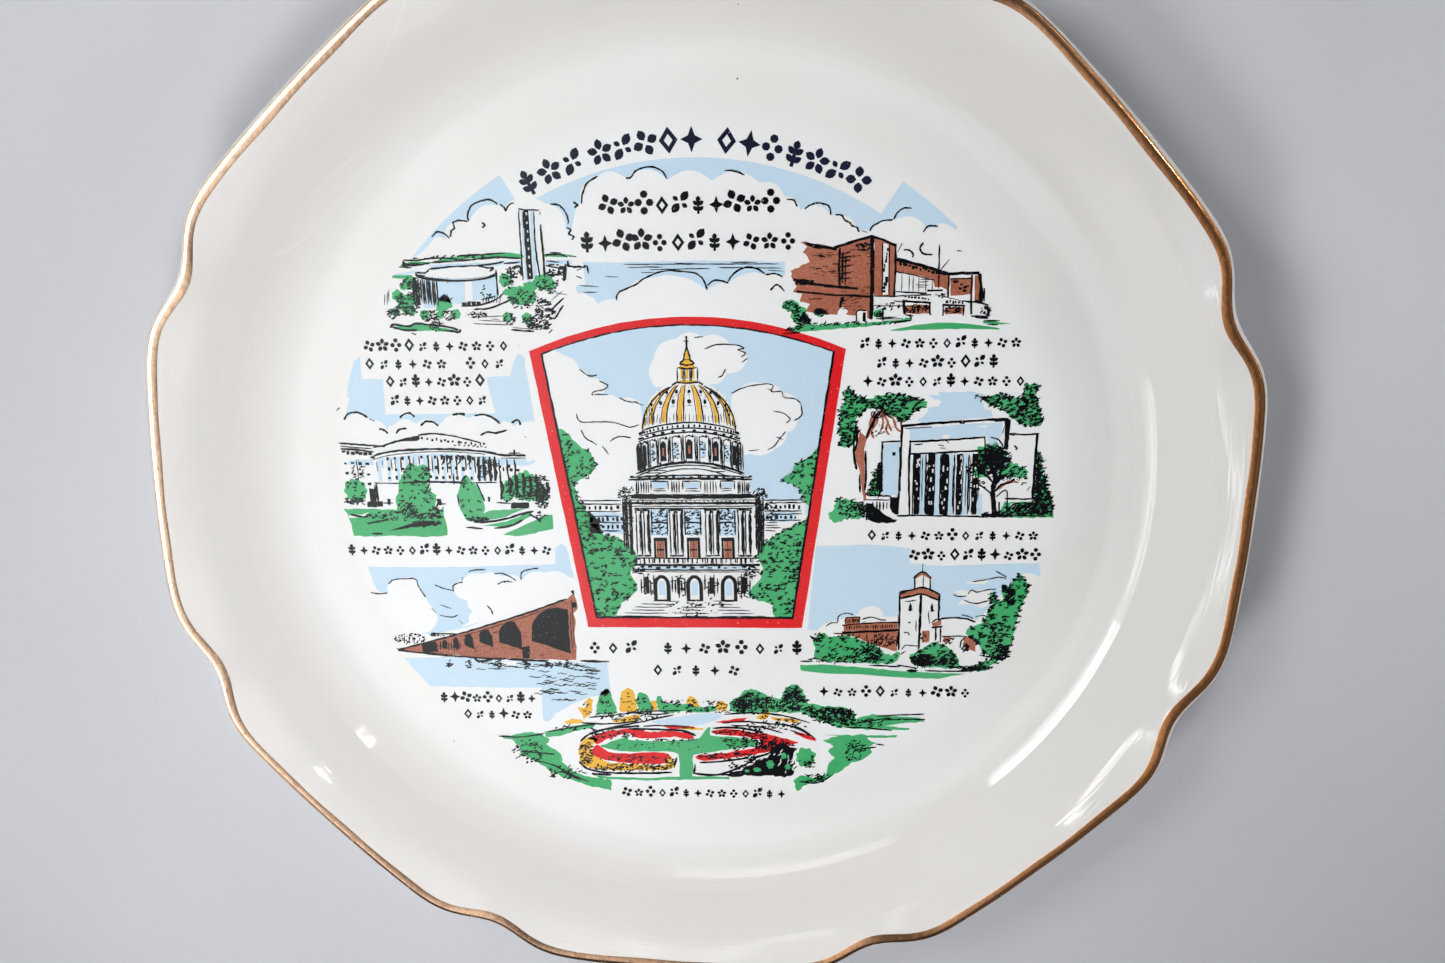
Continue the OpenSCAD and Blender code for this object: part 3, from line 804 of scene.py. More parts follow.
def draw_crown():
    sky, ink = "crown_sky", "crown_cloud_lines"
    left, right = math.degrees(math.atan2(55.5, -66)), math.degrees(math.atan2(60.6, 60.5))
    lay(sky, arc(0, 0, 86, 86, right, left, 60) + [(-63.6, 56.6), (-61.7, 58.2)] + scallops(LEFT_CLOUD,
        0.22) + [(-28.2, 59.8), (-26.6, 66)] + scallops(NAME_CLOUD, 0.22))
    keep_off(sky, arc(0, 0, 77.4, 77.4, 56, 120.5, 40) + arc(0, 0, 90, 90, 120.5, 56, 30))
    pens(ink, [[(-60.5, 60.3), (-59.2, 61.5), (-57.6, 61), (-56.4, 59.9)], [(-56.2, 60.2), (-55.9, 61.6),
        (-55.1, 62.3), (-55.3, 63.5), (-54, 64), (-51.8, 63.8)], [(-51.6, 63.9), (-51.7, 65.4),
        (-50.8, 67.2), (-49, 68.2), (-46.5, 68.7), (-44.6, 67.6)], [(-44, 67.6), (-43.1, 66.8),
        (-42.8, 65.9)], [(-42.8, 66), (-42, 67.3), (-40.8, 67.9)], [(-48.5, 63.5), (-47.9, 62.9),
        (-48.5, 62.3)], [(-32.3, 67.5), (-30.5, 67.2), (-29.2, 66), (-28.4, 64), (-28.5, 62.8)],
        [(-28.9, 62.1), (-27.9, 61.5), (-28.4, 60.6), (-27.3, 60), (-27.8, 59.2)], [(-27, 67.8), (-26, 67.2),
        (-26.8, 66.6)], [(-25.1, 67.4), (-24.8, 69.5), (-23.6, 72), (-21.1, 73.5)], [(-14.6, 73),
        (-13.5, 73.2), (-12, 74.8), (-9, 75.5), (-6.5, 74.6), (-5.2, 72.7)], [(8, 74.3), (10, 74.3),
        (12.5, 73.3)], [(22, 67.7), (23.6, 67.5), (24.3, 66)], [(26, 65.4), (27, 66.3), (29, 66.8),
        (31.5, 66.1), (32, 64)], [(33, 64.1), (34.4, 64), (35, 63), (36.2, 62.3), (36.8, 61.6), (37.8, 61.2),
        (38.4, 60.2)], [(39, 60.4), (40.2, 60)], [(40.8, 60.4), (41.6, 61.5), (43.5, 62.5), (46, 62.8)],
        [(46.2, 62.9), (47.1, 64.5), (48.6, 65.4), (50.2, 65.3)], [(53, 60), (54, 61.3), (56.2, 61.2)],
        [(53, 57.6), (52.3, 56.2), (53.2, 55), (55.2, 54.8)], [(48.6, 56), (50, 55.8), (50.7, 55),
        (50.6, 54.2)], [(60.8, 55.6), (61.8, 55.5)]], 0.34)
    # the low strip of sky between the names and the middle picture
    strip = [(-25.5, 54), (-14, 53.9), (3, 54), (21.5, 53.6), (21.4, 50.6)]
    low_cloud = [(20.5, 50.3), (17, 50.8), (8.4, 48.8), (3.4, 47.2), (-11, 50.0), (-14.6, 48.4), (-18, 45),
        (-22.5, 44.2), (-25, 46.4)]
    lay_rough(sky, strip + scallops(low_cloud, -0.14), 0.12, 2)
    lay_rough(sky, [(-27.5, 48.6), (-22, 48.8), (-22, 46.6), (-27, 46.8)], 0.2)
    pens(ink, [[(-18, 45), (-17.5, 46.8), (-15, 48), (-13.4, 48.6), (-11, 50.2), (-7, 51.7), (-3, 51.7),
        (1, 51), (2.8, 49), (3.3, 47.2)], [(3.4, 48.2), (4.8, 49.4), (6.8, 49.3), (8.3, 48.7)], [(8.2, 49),
        (9.6, 51), (12.5, 52.4), (15, 52), (16.8, 50.8)], [(17, 50.6), (19, 50.9), (20.8, 50.1)], [(18, 47),
        (19.3, 48.2), (20.2, 47.9), (21.3, 46.8)]], 0.34)
    for x0, y0, x1, y1 in ((-16, 53.4, 20, 53.1), (-15, 52.7, -7, 52.7), (-10, 52.1, 4, 52.2), (6, 52.4,
            20.5, 52.1), (-4, 53.5, 2, 53.3), (-20.5, 50.6, -17.4, 50.5), (-26.5, 48.6, -22, 48.2),
            (-25.8, 47, -22.4, 47), (9, 53.6, 15, 53.5), (17.6, 51.6, 21, 51.4), (-12, 51.4, -8.8, 51.5)):
        pen(ink, [(x0, y0), (x1, y1)], 0.2, 0.04)


# ---- Middle picture ----
PANEL_FOOT_W = 27       # half the panel's width at its foot
PANEL_FOOT_Y = -38.2
PANEL_SHOULDER_W = 37.5
PANEL_SHOULDER_Y = 33
PANEL_RISE = 16         # how far the arch's handle stands above the shoulders


def panel_outline(inset):
    foot = PANEL_FOOT_Y + inset
    lean = (PANEL_SHOULDER_W - PANEL_FOOT_W) / (PANEL_SHOULDER_Y - PANEL_FOOT_Y)
    side = inset * math.hypot(1, lean)
    shoulder = PANEL_SHOULDER_Y - 0.25 * inset

    def half(y):
        return PANEL_FOOT_W + (y - PANEL_FOOT_Y) * lean - side

    arch = bez((half(shoulder), shoulder), (0, PANEL_SHOULDER_Y + PANEL_RISE - inset * 1.2),
        (-half(shoulder), shoulder), 24)
    return [(MIDDLE_X + x, y) for x, y in [(-half(foot), foot), (half(foot), foot)] + arch]


HALL = [(-30, -4.4), (-20.5, -4.6), (-18.5, -2.8), (-15.6, -2.2), (-16, 1.2), (-14.4, 2), (-14.5, 10),
    (-12.9, 13), (-12.6, 17.5), (-10.9, 21.5), (-8, 24), (-5, 25.2), (-4.4, 29), (-2.6, 32.2), (-1.9, 34),
    (-1.2, 32.2), (0.8, 29), (1.3, 25.2), (4.4, 24), (7.1, 21.5), (8.9, 17.5), (9.3, 13.4), (10.8, 10),
    (10.9, 2), (12.4, 1.4), (12.6, -2), (14.8, -2.8), (16.6, -4.6), (26, -4.6), (26, -36), (-30, -36)]
LEFT_GROVE = [(-37, 14), (-34, 13.8), (-31.4, 13), (-28.8, 9.6), (-26.6, 8.6), (-24.9, 5), (-26, 2.4),
    (-30, 0.2), (-29.8, -3.4), (-27.4, -7.4), (-25, -9.6), (-24, -13), (-19.6, -14.4), (-15.6, -19.4),
    (-17.6, -23.4), (-16, -28.2), (-20, -31.6), (-23.4, -36), (-35, -37)]
RIGHT_GROVE = [(34, 10), (29.6, 9.4), (26.8, 6.4), (23.8, 5), (22.6, 2.6), (20.4, 0.6), (24, -0.8),
    (25.4, -4), (27, -7), (25.8, -9.6), (20.6, -12.4), (16.4, -15), (14, -19), (15.6, -21.6), (14.4, -25.4),
    (11.8, -29), (14.4, -30.8), (17.6, -32), (19, -36), (30, -37)]
DOME_RX, DOME_RY, DOME_Y = 11.1, 10.3, 15.2


def on_dome(longitude, rise, out=1.0):
    """A point on the dome's drawing from its longitude and its angle above the base."""
    lon, up = math.radians(longitude), math.radians(rise)
    return (MIDDLE_X + DOME_RX * out * math.sin(lon) * math.cos(up),
            DOME_Y + DOME_RY * out * math.sin(up) - 1.5 * (1 - math.cos(lon)) * math.cos(up))


def round_drum(node, y_middle, y_edge, half, width, waver=0.06):
    """A level line round the drum, which droops towards its ends."""
    steps = [k / 8 for k in range(-8, 9)]
    line = [(MIDDLE_X + half * t, y_middle + (y_edge - y_middle) * t * t) for t in steps]
    pen(node, line, width, waver)


def draw_panel():
    frame_ink, key = "panel_frame", "panel_keyline"
    lay(frame_ink, nudged(resampled(panel_outline(0), 3, True), 0.06))
    keep_off(frame_ink, panel_outline(2.5))
    lay(key, nudged(resampled(panel_outline(2.45), 1.5, True), 0.08))
    keep_off(key, nudged(resampled(panel_outline(3.0), 1.5, True), 0.10))
    # sky: everything above the horizon, less the clouds, the hall and the groves
    sky, ink = "panel_sky", "dome_hall_lines"
    top = [p for p in panel_outline(2.8) if p[1] > -30]
    lay(sky, [(-30.4, -8), (26.8, -8)] + top)
    keep_off(sky, HALL, rough(smooth(LEFT_GROVE, 3, True), 0.1), rough(smooth(RIGHT_GROVE, 3, True), 0.1))
    keep_off(sky, [(-42, 34)] + scallops([(-36.4, 32.4), (-31, 32), (-27.6, 28.6), (-25.2, 26.4), (-22, 25),
        (-22.6, 22), (-18.4, 21.2), (-13.6, 20.4)], 0.16) + [(-12, 12), (-14, 3), (-14, -8), (-42, -8)])
    keep_off(sky, scallops([(-9.6, 24), (-9.8, 31), (-4.4, 35.8), (2, 36.2), (8.6, 34.2), (12.6, 31),
        (7.4, 27.2), (3.6, 24.6)], 0.2))
    keep_off(sky, [(8, 6)] + scallops([(8.4, 20.4), (10.4, 23.6), (16, 24.8), (20.8, 22.6), (24.8, 19.6),
        (24.2, 15.4), (21.6, 12.6), (18.8, 8.6), (12.6, 7.4)], 0.16))
    lay_soft(sky, [(-29, 14), (-27.6, 11), (-24.6, 9), (-22, 8), (-21, 10.6), (-16.4, 11.6), (-20, 13),
        (-24, 14.6)], 0.16)
    pens(ink, [[(-27.6, 28.6), (-25.4, 26.9), (-23.4, 27.2)], [(-23, 25.6), (-21, 24.6), (-22, 23.6),
        (-24.6, 23), (-24.8, 22)], [(-24.6, 22.4), (-21, 22.4)], [(-18.4, 21.6), (-16.6, 20.6), (-14, 20.4)],
        [(-14.4, 20.2), (-12.6, 19.6)], [(-29, 17.6), (-28, 15.6), (-24, 15.6), (-20.4, 15.4), (-18, 14.8),
        (-16, 14.2), (-14, 14.8)], [(-28, 13.6), (-27, 11.6), (-24.4, 9.8)], [(-23, 9.4), (-21.6, 7.4)],
        [(-21.2, 10.6), (-19, 11.8), (-16, 11.6)], [(-26, 27.2), (-24.6, 27)], [(2.4, 33.2), (5, 34.2),
        (9.4, 34.2), (11.6, 33.4), (10.2, 33), (12, 32.2), (11, 31.2)], [(12.6, 31), (11.2, 30)],
        [(5.4, 26.4), (6.4, 26.8), (7.2, 28.4)], [(0, 36), (2, 36.2)], [(8.4, 22.4), (11.4, 23.8),
        (15.4, 24.6), (18.4, 24.4), (18, 22.8), (20.4, 22.8), (21, 21.4), (23.6, 21), (25, 19.8)],
        [(25, 19.6), (25.2, 17), (23.4, 15.6)], [(18.4, 18), (21, 17.4), (22.4, 16), (21.4, 15)],
        [(21.4, 13), (20.2, 11.6), (18.6, 9.4), (17, 8.4)], [(20.6, 11), (19, 11.6)], [(17, 23.6),
        (18.6, 22.6)], [(12.4, 8.2), (15, 8.4)]], 0.24)
    grove("panel_trees", ink, LEFT_GROVE, 400, 1.0)
    grove("panel_trees", ink, RIGHT_GROVE, 310, 1.0)
    keep_off("panel_trees", *frame_strips())
    for outline in (LEFT_GROVE, RIGHT_GROVE):
        edge = resampled(outline, 1.6, True)
        for x, y in edge:
            if -30.5 < x < 27 and -35.5 < y < 9 and inside(panel_outline(4), x, y) and rng.random() < 0.62:
                leaves(ink, x, y, 0.5, 0.5, 2, 1.0, 0)
    keep_off(ink, *frame_strips())


def frame_strips():
    """The frame's four sides as outlines, to hold inks inside it."""
    out = panel_outline(-14)
    hole = panel_outline(2.9)
    count = len(hole)
    return [[out[i], out[(i + 1) % count], hole[(i + 1) % count], hole[i]] for i in range(count)]


def draw_dome():
    ink, gold = "dome_hall_lines", "dome_ribs"
    for longitude in (-80, -56, -33, -11, 14, 37, 61, 84):
        wide = 3.3 - 0.9 * abs(longitude) / 90
        if abs(longitude) > 75:
            pen(gold, [on_dome(longitude, rise) for rise in (0, 16, 32, 48, 62)], 0.5, 0.05)
            continue
        left = [on_dome(longitude - wide, rise) for rise in (2, 16, 32, 48, 60, 66)]
        right = [on_dome(longitude + wide, rise) for rise in (66, 60, 48, 32, 16, 2)]
        lay(gold, nudged(left + right, 0.06))
        for side, width in ((wide + 1.4, 0.26), (-wide - 1.2, 0.16)):
            pen(ink, [on_dome(longitude + side, rise) for rise in (0, 14, 28, 42, 56, 66)], width, 0.07)
    for rise, size in ((31, 1.0), (49, 0.8)):
        for longitude in (-68, -44, -22, 2, 25, 49, 72):
            x, y = on_dome(longitude, rise)
            wide = size * (0.35 + 0.65 * math.cos(math.radians(longitude)))
            lay(ink, nudged(arc(x, y, wide * 0.5, size * 0.6, n=7), 0.12))
            pen(ink, [(x - wide * 0.5, y - size), (x + wide * 0.4, y - size * 1.05)], 0.18)
            pen(ink, [(x, y + size * 0.9), (x + 0.1, y + size * 1.4)], 0.2)
    for longitude in range(-84, 90, 5):
        start = rng.uniform(0, 4)
        pen(ink, [on_dome(longitude, start), on_dome(longitude, start + rng.uniform(4, 13))], 0.16, 0.05)
    for side in (-1, 1):
        pen(ink, [on_dome(side * 90, rise, 1.01) for rise in range(-6, 70, 8)], 0.3, 0.08)
        strokes(ink, MIDDLE_X + side * 9.2 - 1, MIDDLE_X + side * 9.2 + 1, 16, 19.4, 4, 0.16)
    # lantern, its gold roof and the spire
    lay(gold, nudged([(-3.9, 28.6), (0.2, 28.6), (-0.4, 29.7), (-1.1, 30.4), (-1.4, 31.8), (-1.9, 33.2),
        (-2.4, 31.8), (-2.7, 30.4), (-3.4, 29.7)], 0.05))
    lay(gold, rect(-3.5, 26, -3.0, 28.4), rect(-2.2, 26, -1.6, 28.4), rect(-0.7, 26, -0.2, 28.4), rect(-3.9,
        25.2, 0.1, 25.7))
    for x in (-4.3, -2.9, -2.5, -1.3, -0.9, 0.5):
        pen(ink, [(x, 25.4), (x + 0.05, 28.7)], 0.3, 0.05)
    pens(ink, [[(-4.7, 25.3), (-1.9, 25.0), (0.9, 25.3)], [(-4.2, 28.8), (-1.9, 28.5), (0.4, 28.8)],
        [(-3.7, 29.7), (-1.9, 29.4), (-0.1, 29.7)], [(-3.6, 29.8), (-3.1, 30.3), (-2.7, 30.6), (-2.5, 31.8),
        (-2, 33.4)], [(-0.2, 29.8), (-0.7, 30.3), (-1.1, 30.6), (-1.3, 31.8), (-1.8, 33.4)], [(-2.6, 30.7),
        (-1.2, 30.7)], [(-5.6, 24.6), (-5, 24.9), (-4.6, 25.2)], [(1.8, 24.6), (1.2, 24.9), (0.8, 25.2)]],
        0.34)
    pen(ink, [(-1.9, 33), (-1.9, 36.3)], 0.36, 0.05)
    pen(ink, [(-2.5, 35.2), (-1.4, 35.2)], 0.3, 0.04)
    lay(ink, arc(-1.9, 33.6, 0.35, 0.3, n=7), arc(-1.9, 36.1, 0.3, 0.32, n=7))


def draw_drum():
    ink, pane = "dome_hall_lines", "dome_hall_panes"
    # balustrade under the dome
    for level in ((15.3, 13.4, 11.2, 0.3), (13.9, 11.9, 11.9, 0.26), (12.9, 10.6, 12.3, 0.34)):
        round_drum(ink, *level)
    for k in range(-13, 14):
        x = MIDDLE_X + 12 * math.sin(math.radians(k * 6.4))
        droop = 2 * ((x - MIDDLE_X) / 12) ** 2
        lay(ink, nudged(arc(x, 14.5 - droop, 0.26, 0.42, n=6), 0.08))
        if k % 2:
            lay(ink, nudged(arc(x, 13.3 - droop, 0.5, 0.3, n=6), 0.1))
    # windows and columns round the drum
    for k in range(-5, 6):
        a = math.radians(k * 15.5)
        x, thin = MIDDLE_X + 12.3 * math.sin(a), math.cos(a)
        low, high = 5.0 - 2.2 * math.sin(a) ** 2, 12.2 - 2.0 * math.sin(a) ** 2
        half = 0.62 * thin + 0.14
        if k % 2 == 0:
            lay(ink, nudged([(x - half, low + 1.2), (x + half, low + 1.2), (x + half, high - 1.8),
                (x + half * 0.5, high - 1.1), (x - half * 0.5, high - 1.1), (x - half, high - 1.8)], 0.08))
            if abs(k) == 2 or k == 0:
                lay("dome_hall_doors", nudged(rect(x - half * 0.45, low + 2.4, x + half * 0.35, high - 2.6),
                    0.06))
                keep_off(ink, rect(x - half * 0.4, low + 2.5, x + half * 0.3, high - 2.7))
        else:
            lay(pane, nudged(rect(x - half, low + 1.6, x + half, high - 1.6), 0.1))
            leaves(ink, x, (low + high) / 2, half, 2.4, 9, 0.7, 0)
        for side in (-1.0, -0.55, 1.0):
            edge = x + side * (1.35 * thin + 0.1)
            pen(ink, [(edge, low + 0.4), (edge, high - 0.2)], 0.3 if side != -0.55 else 0.2, 0.08)
        pen(ink, [(x - half * 1.4, high - 0.6), (x, high - 0.1), (x + half * 1.4, high - 0.6)], 0.26, 0.05)
        lay(ink, nudged(arc(x + 0.9 * thin, high - 0.2, 0.3, 0.35, n=6), 0.1), nudged(arc(x - thin,
            low + 0.5, 0.35, 0.3, n=6), 0.1))
    strokes(ink, -14.9, -12.6, 3, 10, 6, 0.3)
    strokes(ink, 9, 11.2, 3, 10, 5, 0.26)
    # curved cornices
    for level in ((5.3, 2.4, 13.2, 0.5), (4.6, 1.9, 13.0, 0.24), (3.7, 1.6, 9.5, 0.22), (2.0, 1.5, 14.5,
            0.34), (1.2, 0.9, 15.0, 0.5)):
        round_drum(ink, *level)
    levels(ink, -13.4, -6, 1.6, 3.6, 3, 0.2, 2)
    levels(ink, 1, 9.6, 1.6, 4.2, 3, 0.22, 3)
    lay(pane, nudged(rect(-5.4, 1.4, -3.2, 2.2), 0.1), nudged(rect(2.8, 1.5, 6.4, 2.3), 0.1))


def draw_portico():
    ink, pane, door = "dome_hall_lines", "dome_hall_panes", "dome_hall_doors"
    # attic storey with its three panels
    for x0, x1 in ((-11.6, -7.4), (-3.8, 0.6), (5.4, 8.8)):
        lay(pane, nudged(rect(x0 + 0.3, -1.3, x1 - 0.3, 0.2), 0.15))
        pens(ink, [[(x0, -1.6), (x0, 0.5)], [(x1, -1.6), (x1, 0.5)], [(x0, 0.5), (x1, 0.5)]], 0.32)
        levels(ink, x0, x1, -2.2, -1.2, 2, 0.22, 0.8)
    blots(ink, -17, 13.6, 1.5, 1.5, 15, 0.9, 0.7, 0.3)
    for patch in ((-15.4, -12, -2.6, 0.6, 6, 0.3), (-6.8, -4.4, -2.6, 0.6, 4, 0.3), (1.2, 4.6, -2.6, 0.6, 5,
            0.26), (9.4, 12.6, -2.8, 0.4, 6, 0.32)):
        strokes(ink, *patch)
    # entablature
    for y, width, x0, x1 in ((-2.9, 0.22, -15.8, 13), (-3.45, 0.8, -16.4, 13.6), (-4.3, 0.18, -17, 14),
            (-5.1, 0.55, -18.6, 14.6), (-5.9, 0.2, -18, 14), (-6.5, 0.3, -15.8, 13)):
        pen(ink, [(x0, y), (MIDDLE_X, y - 0.06), (x1, y)], width, 0.05, 0.9)
    blots(ink, -15.4, 12.6, -4.7, -4.7, 26, 0.35, 0.3, 0.1)
    # columns in pairs, each with shading down its right side
    for x in (-14.9, -13, -6.6, -4.8, 2.2, 4.0, 10.2, 12.0):
        pen(ink, [(x - 0.62, -7.2), (x - 0.66, -18.6)], 0.26, 0.06)
        pen(ink, [(x + 0.5, -7.2), (x + 0.56, -18.6)], 0.5, 0.08)
        pen(ink, [(x + 0.14, -8), (x + 0.16, -17.8)], 0.16, 0.08)
        pens(ink, [[(x - 1, -6.9), (x + 0.9, -6.9)], [(x - 0.9, -18.9), (x + 0.9, -18.9)]], 0.42)
        lay(ink, nudged(arc(x - 0.7, -7.4, 0.25, 0.35, n=6), 0.06), nudged(arc(x + 0.7, -7.4, 0.28, 0.4,
            n=6), 0.06))
        pens(ink, [[(x - 1, -20.9), (x - 1, -19.4)], [(x + 1, -20.9), (x + 1, -19.4)]], 0.34)
    for x in (-9.8, -1.6, 6.9):
        lay(pane, nudged(resampled(rect(x - 2.2, -13.6, x + 2.2, -6.8), 1.5, True), 0.2))
        leaves(ink, x, -8.4, 2.1, 1.8, 26, 0.8, 0)
        leaves(ink, x, -12, 2.1, 1.6, 16, 0.8, 0)
        pens(ink, [[(x - 1.9, -7), (x - 1.9, -13.4)], [(x + 1.9, -7), (x + 1.9, -13.4)]], 0.3)
        pens(ink, [[(x - 2.2, -10.3), (x, -10.1), (x + 2.2, -10.4)]], 0.36)
        lay(door, nudged(rect(x - 0.95, -19.4, x - 0.1, -15), 0.05), nudged(rect(x + 0.1, -19.4, x + 0.95,
            -15), 0.05))
        lay(ink, nudged(rect(x - 1.6, -19.6, x - 1.05, -14.4), 0.06), nudged(rect(x + 1.05, -19.6, x + 1.7,
            -14.4), 0.06), nudged(rect(x - 1.6, -15, x + 1.6, -14.1), 0.06), rect(x - 0.08, -19.4, x + 0.1,
            -15), nudged(rect(x - 0.95, -17.5, x + 0.95, -17.1), 0.04))
    # balustrade and the storey under it
    blots(ink, -15.6, 13, -20.2, -20.2, 24, 0.4, 1.3, 0.12)
    for y, width in ((-19.5, 0.26), (-21.3, 0.5), (-22.6, 0.3), (-23.1, 0.18)):
        pen(ink, [(-16.4, y), (MIDDLE_X, y - 0.1), (14.6, y)], width, 0.06, 0.9)
    levels(pane, -15, 12, -22.4, -21.8, 1, 0.7, 1)
    blots(ink, -15.6, 13.8, -22, -22, 14, 1.0, 0.5, 0.3)
    for x in (-9.8, -1.6, 7.0):
        keep_off(ink, arc(x, -26.8, 1.15, 1.9, 0, 180, 10) + [(x - 1.15, -30.6), (x + 1.15, -30.6)])
        lay(ink, nudged(arc(x, -26.8, 2.1, 2.8, 0, 180, 12) + [(x - 2.1, -31), (x + 2.1, -31)], 0.08))
        lay(pane, nudged(arc(x, -26.9, 0.8, 1.4, 0, 180, 8) + [(x - 0.8, -29.4), (x + 0.8, -29.4)], 0.08))
    for x in (-13.4, -5.6, 2.6, 10.8):
        strokes(ink, x - 1.9, x + 1.9, -30.6, -23.4, 5, 0.3, 0, 2.6)
        leaves(ink, x, -27, 1.8, 3.4, 15, 0.9, 0)
        lay(ink, nudged(rect(x - 0.5, -29, x + 0.5, -24.6), 0.16))
    leaves(ink, -15.4, -22.6, 1.6, 1.4, 14, 1.0, 0)
    leaves(ink, 12.2, -23, 1.8, 1.8, 16, 1.0, 0)
    # steps
    for i in range(6):
        y, wide = -31 - i * 0.82, 11.5 + i * 1.9
        for x0, x1 in ((-wide, -wide * 0.3), (-wide * 0.24, wide * 0.2), (wide * 0.28, wide * 0.9)):
            pen(ink, [(MIDDLE_X + x0 + rng.uniform(0, 2.5), y), (MIDDLE_X + x1 - rng.uniform(0, 2.5),
                y - 0.05)], 0.19, 0.06)
    leaves(ink, MIDDLE_X, -34, 6, 1.2, 16, 0.7, 0)
    leaves(ink, MIDDLE_X + 1, -32, 9, 0.8, 20, 0.8, 0)
    # end bays and wings
    for side, x0, x1 in ((-1, -19, -16.4), (1, 13.8, 15.8)):
        strokes(ink, x0, x1, -19, -3, 5, 0.34, 0, 2.2)
        leaves(ink, (x0 + x1) / 2, -9, 1.1, 5.4, 34, 0.9, 0)
        leaves(ink, (x0 + x1) / 2 + side * 0.4, -3, 1.6, 1.6, 14, 0.9, 0)
    lay(pane, rough(rect(-27, -13, -18.8, -7.6), 0.25, 1.1), rough(rect(16, -9.8, 23.6, -7.2), 0.2, 1.1))
    for x0, x1, ys in ((-30, -19, (-4.5, -5.4, -7.3, -8.5, -10.2, -12.4)), (15.6, 25.4, (-4.4, -5.1, -7.2,
            -8.0, -9.6))):
        for y in ys:
            pen(ink, [(x0 + rng.uniform(0, 1), y), (x1 - rng.uniform(0, 1), y + 0.05)], 0.26, 0.08)
    for patch in ((-29, -19.4, -6.3, -6.3, 7, 0.6, 0.9, 0.15), (-25.4, -18.4, -9.3, -9.3, 6, 0.6, 1.1, 0.15),
            (-24.4, -18.4, -11.3, -11.3, 5, 0.7, 1.0, 0.15), (16, 25, -6.1, -6.1, 8, 0.6, 1.0, 0.15),
            (16, 24.2, -8.8, -8.8, 7, 0.6, 0.8, 0.15)):
        blots(ink, *patch)
    for patch in ((17.4, -7.6, 2.4, 2.8, 26, 1.0, 0), (14.6, -2.6, 2.2, 1.4, 18, 0.9, 0), (-17, -2.4, 2.2,
            1.4, 18, 0.9, 0)):
        leaves(ink, *patch)
    levels(ink, 15.4, 20, -12.6, -9.8, 4, 0.24, 1.4)


